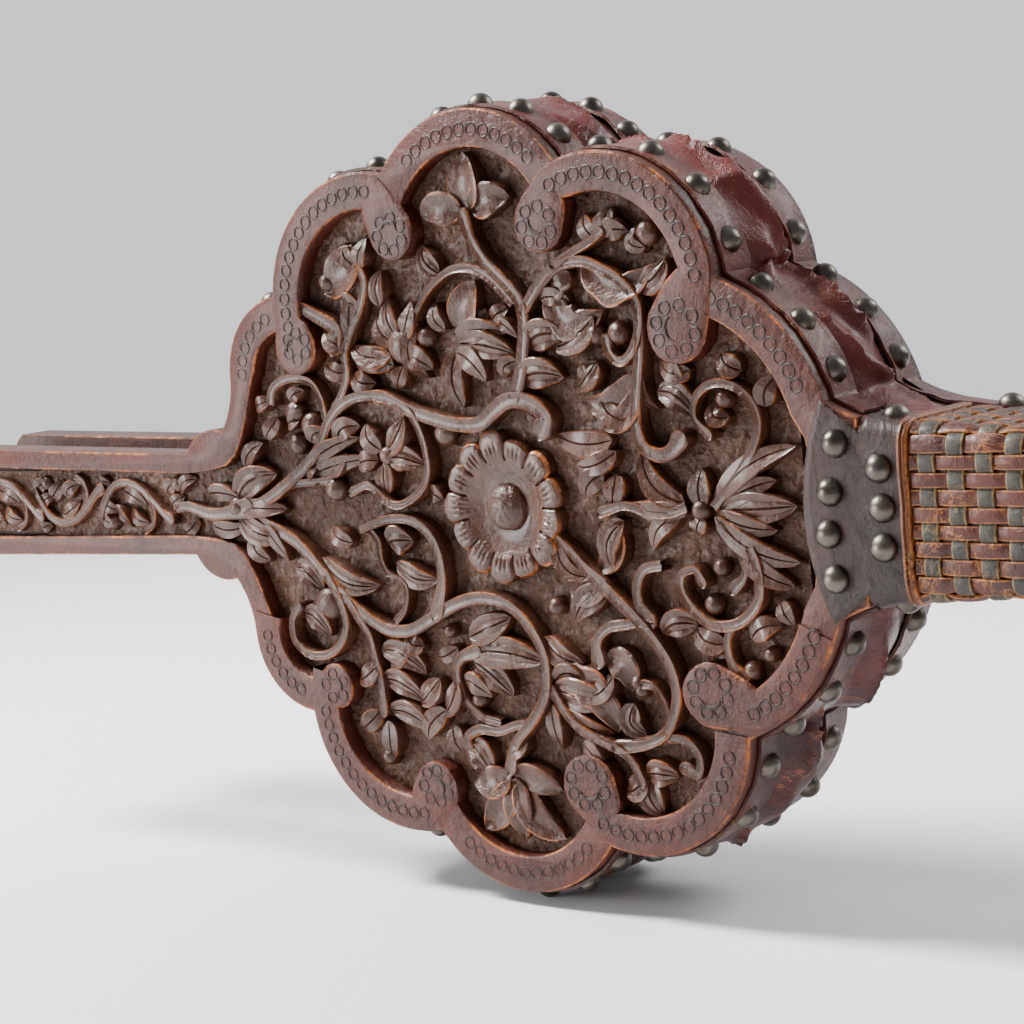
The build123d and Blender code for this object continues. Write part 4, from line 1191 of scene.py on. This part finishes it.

# %% [markdown]
# ## Hinge patch
# One hide covers the nose: it lies on the leaf, crosses the hinge line, and wraps over the head
# block's edges. It is what the front board swings on.

# %% Patch
def nose_half(x):
    """Half height of the board's nose and of the head block at x."""
    if x >= HEAD_X:
        return HEAD_HALF - (HEAD_HALF - NOSE_HALF) * (x - HEAD_X) / (NOSE_X - HEAD_X)
    return HEAD_HALF + 8.3 * (max(0.0, HEAD_X - x) / 29.7) ** 1.75


def patch_edge(y):
    """X of the patch's left edge at height y."""
    return 126.0 + 8.5 * (abs(y) / 36.0) ** 2


def patch_mesh():
    """The patch as rows of points. A row starts on the lower wing, crosses the front and ends on
    the upper wing; the rows with u up to 1 lie on the leaf and have no wings."""
    wing, turn = 9, 5
    fold_x, head_run, corner = 148.0, 14.6, 5.0
    columns = []
    for u in list(np.linspace(0.0, 1.0, 15)) + list(np.linspace(1.0, 2.0, 10))[1:]:
        rows = []
        head_x = fold_x + head_run * (u - 1)
        for v in np.linspace(-1.0, 1.0, 31):
            if u <= 1:
                narrow = nose_half(fold_x)
                y = v * (narrow - corner + (36.0 - narrow + corner) * (1 - u) ** 0.8)
                x = patch_edge(y) + (fold_x - patch_edge(y)) * u
            else:
                x = head_x
                y = v * (nose_half(x) - corner)
            lump = 0.35 * ripple(x, y, 0, 7.0, 2.0) + 0.25 * ripple(x, y, 0, 2.6, 9.0)
            rows.append((x, y, 1.35 + lump * 0.8 - 0.5 * (1 - min(u / 0.07, 1.0))))
        corner_rows = []
        for k in range(1, turn + wing + 1):
            half = nose_half(head_x)
            if u <= 1:
                x, y, z = rows[-1]
                corner_rows.append((x, y + 0.02 * k, z - 0.02 * k))
            elif k <= turn:
                a = pi / 2 * k / turn
                corner_rows.append((head_x, half - corner + 6.5 * sin(a), -corner + 6.5 * cos(a)))
            else:
                d = corner + 15.2 * (k - turn) / wing
                puff = 0.8 * ripple(head_x, half, d, 5.0, 4.0)
                corner_rows.append((head_x, half + 1.5 + puff, -d))
        low_rows = [(x, -y, z) for x, y, z in reversed(corner_rows)]
        columns.append(low_rows + rows + corner_rows)
    return columns


piece = strip_through(patch_mesh())
middle_face = piece.data.polygons[len(piece.data.polygons) // 2]
if middle_face.normal.z < 0:
    piece.data.flip_normals()
merged(piece, 0.3)
thicken(piece, 1.25)
add_wear(piece)
cut_faces = [p.material_index for p in piece.data.polygons]
patch = place(piece, "hinge_patch", None, "dark_leather", patch_hide, hide_edge, smooth=60)
patch.data.polygons.foreach_set("material_index", cut_faces)
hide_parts("hinge_patch_head", "hinge_patch_leaf")
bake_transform(patch)

# %% [markdown]
# ## Plaited neck
# The neck is covered by a plait: flat red strips run to the nozzle and grey-green ones cross them,
# over one and under the next. Every strip is its own strap whose height above the wood rises and
# falls, in turn with its neighbours, so that the plait really interlocks.

# %% Plait
RED_PITCH = 5.4
GREY_PITCH = 9.7
GREY_START = 171.2
PLAIT_MIDDLE = 1.25


def round_neck(x, s, h):
    """A point at x, at arc length s from the middle of the front, h above the wood."""
    half = nose_half(x)
    corner = 6.0
    flat = half - corner
    side = 1 if s >= 0 else -1
    s = abs(s)
    if s <= flat:
        return x, side * s, h
    if s <= flat + corner * pi / 2:
        a = (s - flat) / corner
        return x, side * (flat + (corner + h) * sin(a)), -corner + (corner + h) * cos(a)
    return x, side * (half + h), -corner - (s - flat - corner * pi / 2)


def strap(line, across, half, thick, x_way):
    """A strap along line, a list of (along, height); across is its fixed coordinate. It runs along
    the neck if x_way, else round it."""
    section = ((-1, -0.5), (-1, 0.25), (-0.8, 0.5), (0, 0.58), (0.8, 0.5), (1, 0.25), (1, -0.5))
    rows = []
    for along, height in line:
        row = [(across + a * half, PLAIT_MIDDLE + height + b * thick) for a, b in section]
        rows.append([round_neck(along, offset, h) if x_way else round_neck(offset, along, h)
                     for offset, h in row])
    piece = strip_through(rows)
    add_wear(piece, np.tile([0.9, 0.55, 0.0, 0.0, 0.55, 0.9], len(line) - 1))
    if piece.data.polygons[len(piece.data.polygons) // 2 + 2].normal.dot(Vector((0, 0, 1))) < -0.2:
        piece.data.flip_normals()
    return piece


def over_under(value):
    """How far a strap stands above or below its middle height, from a wave between -1 and 1."""
    return 0.62 * (1 if value >= 0 else -1) * abs(value) ** 0.5


reds = []
for k in range(-12, 13):
    s = k * RED_PITCH + 0.25 * sin(k * 3.1)
    line = []
    for step in range(58):
        x = 165.6 + (226.2 - 165.6) * step / 57
        line.append((x, over_under(cos(pi * ((x - GREY_START) / GREY_PITCH + k)))))
    reds.append(strap(line, s, 2.3 + 0.15 * sin(k * 1.7), 1.0, True))
greys = []
for j in range(6):
    x = GREY_START + GREY_PITCH * j
    line = []
    for step in range(129):
        s = -66.5 + 133.0 * step / 128
        line.append((s, -over_under(cos(pi * (s / RED_PITCH + j)))))
    greys.append(strap(line, x, 2.75, 0.9, False))
red_plait = place(joined("plait_red", reds), "plait_red", "base", "plaited_leather", red_strand,
                  smooth=50)
place(joined("plait_grey", greys), "plait_grey", "base", "plaited_leather", grey_strand, smooth=50)
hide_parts("plaited_cover")
lining = strip_through([[round_neck(x, -67.0 + 134.0 * step / 39, 0.25)
                         for x in (165.2, 196.0, 226.4)] for step in range(40)])
if lining.data.polygons[39].normal.z < 0:
    lining.data.flip_normals()
add_wear(lining)
thicken(lining, 0.2, rim=0)
place(lining, "plait_lining", "base", "plaited_leather", patch_hide, smooth=50)

# %% [markdown]
# ## Bindings
# A folded strip is bound round each end of the plait. Its cross section is a fold with a groove,
# swept round the neck; the seam edges are rubbed to orange.

# %% Bindings
def binding(name, start, node):
    """A folded strip round the neck from x = start; its open ends are closed by a face."""
    section = ((0.0, 0.1), (0.0, 2.2), (0.35, 2.9), (1.2, 3.05), (1.75, 2.35), (2.3, 3.0),
               (3.1, 2.8), (3.5, 2.1), (3.5, 0.1), (0.0, 0.1))
    count = 100
    rows = []
    for step in range(count):
        s = -67.5 + 135.0 * step / (count - 1)
        sway = 0.25 * ripple(s, start, 0, 9.0)
        rows.append([round_neck(start + dx + sway, s, h + 0.12 * ripple(s, dx, 1, 3.0))
                     for dx, h in section])
    piece = strip_through(rows)
    add_wear(piece, np.tile([0.3, 0.9, 0.2, 0.2, 0.2, 0.2, 0.9, 0.5, 0.0], count - 1))
    only(piece)
    bpy.ops.object.mode_set(mode="EDIT")
    bpy.ops.mesh.select_all(action="SELECT")
    bpy.ops.mesh.remove_doubles(threshold=0.001)
    bpy.ops.mesh.select_all(action="DESELECT")
    bpy.ops.mesh.select_non_manifold()
    bpy.ops.mesh.edge_face_add()
    bpy.ops.mesh.select_all(action="SELECT")
    bpy.ops.mesh.normals_make_consistent(inside=False)
    bpy.ops.object.mode_set(mode="OBJECT")
    piece = place(piece, name, "base", "binding_leather", binding_hide, smooth=50)
    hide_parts(node)


binding("binding_rear", 161.4, "cover_binding_rear")
binding("binding_nose", 226.4, "cover_binding_nose")

# %% [markdown]
# ## Metal
# The domed nails are iron, blackened and then polished by hands: dark, smooth and a little uneven.
# The nozzle is duller and spotted with rust; the tacks of the valve are brass.

# %% Metal finishes
def metal_finish(name, dark, light, gloss, rust=0.0):
    material, sheet, shader = new_finish(name, {"Specular IOR Level": 0.5})
    where = object_space(sheet)
    cloud = grain_noise(sheet, where, 95.0, 5.0, 0.65)
    fine = grain_noise(sheet, where, 900.0, 3.0, 0.6)
    body = cloud.clamp(0.35, 0.65).blend(dark, light)
    spots = grain_noise(sheet, where, 260.0, 5.0, 0.7).clamp(0.56, 0.68)
    coloured = (spots * rust).blend(body, (0.10, 0.045, 0.022))
    metal = 1.0 - spots * (0.6 * rust)
    connect(sheet, shader, Base_Color=coloured, Metallic=metal,
            Roughness=cloud.clamp(0.3, 0.7) * 0.14 + fine * 0.08 + gloss,
            Normal=relief(sheet, fine + cloud * 0.6, 0.22, 0.0005))
    return material


nail_metal = metal_finish("nail_metal", (0.065, 0.056, 0.048), (0.150, 0.132, 0.115), 0.26, 0.15)
nozzle_metal = metal_finish("nozzle_metal", (0.075, 0.068, 0.060), (0.17, 0.155, 0.135), 0.34, 0.7)
tack_metal = metal_finish("tack_metal", (0.20, 0.15, 0.08), (0.34, 0.27, 0.15), 0.30, 0.4)


def dress(material, *names):
    """Give CAD nodes that are shown as they are one finish."""
    for name in names:
        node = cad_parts[name]
        node.data.materials.clear()
        node.data.materials.append(material)


dress(nail_metal, "front_rim_nails", "back_rim_nails", "patch_nails_leaf", "patch_nails_head",
      "neck_nails", "patch_wing_nails", "flange_nails")
dress(nozzle_metal, "nozzle_flange", "nozzle_pipe", "nozzle_bead")
dress(tack_metal, "valve_tacks", "valve_rivets")
dress(valve_hide, "valve_flap", "valve_strap", "valve_thong")
dress(plain_wood, "head_block", "rib_hoop", "valve_board")

# %% [markdown]
# ## Back board
# The back is the same outline left plain, with the air intake bored through it. Its arris is
# rounded like the front's.

# %% Back
intake = [(-20.0 + 23.0 * cos(radians(a)), 23.0 * sin(radians(a))) for a in range(0, 360, 6)]
head_run = arc_between((135.3, 35.3), (149.0, 29.9), (HEAD_X, HEAD_HALF), 6) + [(NOSE_X, NOSE_HALF)]


def with_head(edge):
    """An edge of the front board led on round the head block."""
    return mirrored([p for p in edge if p[1] >= 0][:-3] + head_run)


back_plank = slab("back_plank", [with_head(outer_edge), intake], -66.0, -49.0, 0.8)
back_inner = slab("back_inner", [with_head(body_edge), intake], -51.0, -46.0, 0.3)
back_board = place(joined("back_board_wood", [back_plank, back_inner]), "back_board_wood", "base",
                   "plain_walnut", plain_wood, smooth=18)
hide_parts("back_board")

# %% [markdown]
# ## Floor, light and camera
# A pale studio floor fades out into a room that is brighter behind the bellows than behind the
# camera. One soft light stands high on the left, a weak one low in front and a weak one behind on
# the right. The camera stands low on the nozzle side, looking back along the board.

# %% Studio
bpy.ops.object.select_all(action="DESELECT")
bpy.ops.mesh.primitive_circle_add(vertices=96, radius=7.0, fill_type="TRIFAN", location=(0, 0, 0))
floor = bpy.context.object
floor.name = "studio_floor"
floor_finish, sheet, shader = new_finish("floor_paper",
                                         {"Roughness": 0.75, "Specular IOR Level": 0.2})
shader.inputs["Base Color"].default_value = (0.86, 0.86, 0.87, 1.0)
where = sheet.node("ShaderNodeTexCoord", out=3)
distance = sheet.node("ShaderNodeVectorMath", {"operation": "LENGTH"}, {0: where}, out=1)
connect(sheet, shader, Alpha=1.0 - distance.clamp(0.5, 2.2))
floor.data.materials.append(floor_finish)

world = bpy.data.worlds.new("studio")
bpy.context.scene.world = world
world.use_nodes = True
room = Paint(world.node_tree)
facing = room.node("ShaderNodeTexCoord", out=0)
toward = room.node("ShaderNodeVectorMath", {"operation": "DOT_PRODUCT"},
                   {0: facing, 1: (-0.6, 0.79, 0.05)}, out=1)
background = world.node_tree.nodes["Background"]
background.inputs["Strength"].default_value = 1.0
room_colour = toward.clamp(0.1, 0.8).blend((0.36, 0.36, 0.37), (1.0, 1.01, 1.04))
world.node_tree.links.new(room_colour.socket, background.inputs["Color"])


def soft_light(name, place_at, look_at, size, watts, tint=(1, 1, 1)):
    data = bpy.data.lights.new(name, "AREA")
    data.shape = "SQUARE"
    data.size = size
    data.energy = watts
    data.color = tint
    lamp = bpy.data.objects.new(name, data)
    lamp.location = place_at
    lamp.rotation_euler = (Vector(look_at) - Vector(place_at)).to_track_quat("-Z", "Y").to_euler()
    bpy.context.scene.collection.objects.link(lamp)


soft_light("key_light", (-1.05, -0.35, 1.5), (-0.05, -0.05, 0.08), 0.5, 96.0, (1.0, 0.99, 0.97))
soft_light("front_light", (-0.95, -1.0, 0.22), (-0.05, 0, 0.12), 0.5, 15.0)
soft_light("rim_light", (0.7, 0.9, 1.0), (0.1, 0, 0.15), 0.5, 12.0)

camera_data = bpy.data.cameras.new("camera")
camera_data.lens = 79.957
camera_data.sensor_width = 36.0
camera = bpy.data.objects.new("camera", camera_data)
right = Vector((0.78032, 0.61918, -0.08807))
up = Vector((-0.01061, 0.15392, 0.98802))
back = Vector((0.62532, -0.77004, 0.12668))
turn = Matrix((right, up, back)).transposed().to_4x4()
camera.matrix_world = Matrix.Translation(rosette + Vector((0.5076, -0.6181, 0.1007))) @ turn
bpy.context.scene.collection.objects.link(camera)
bpy.context.scene.camera = camera

# %% [markdown]
# ## The last line
# The visual model keeps the CAD model's size. The shelf of blank grids is removed.

# %% Finish
bpy.data.collections.remove(shelf)
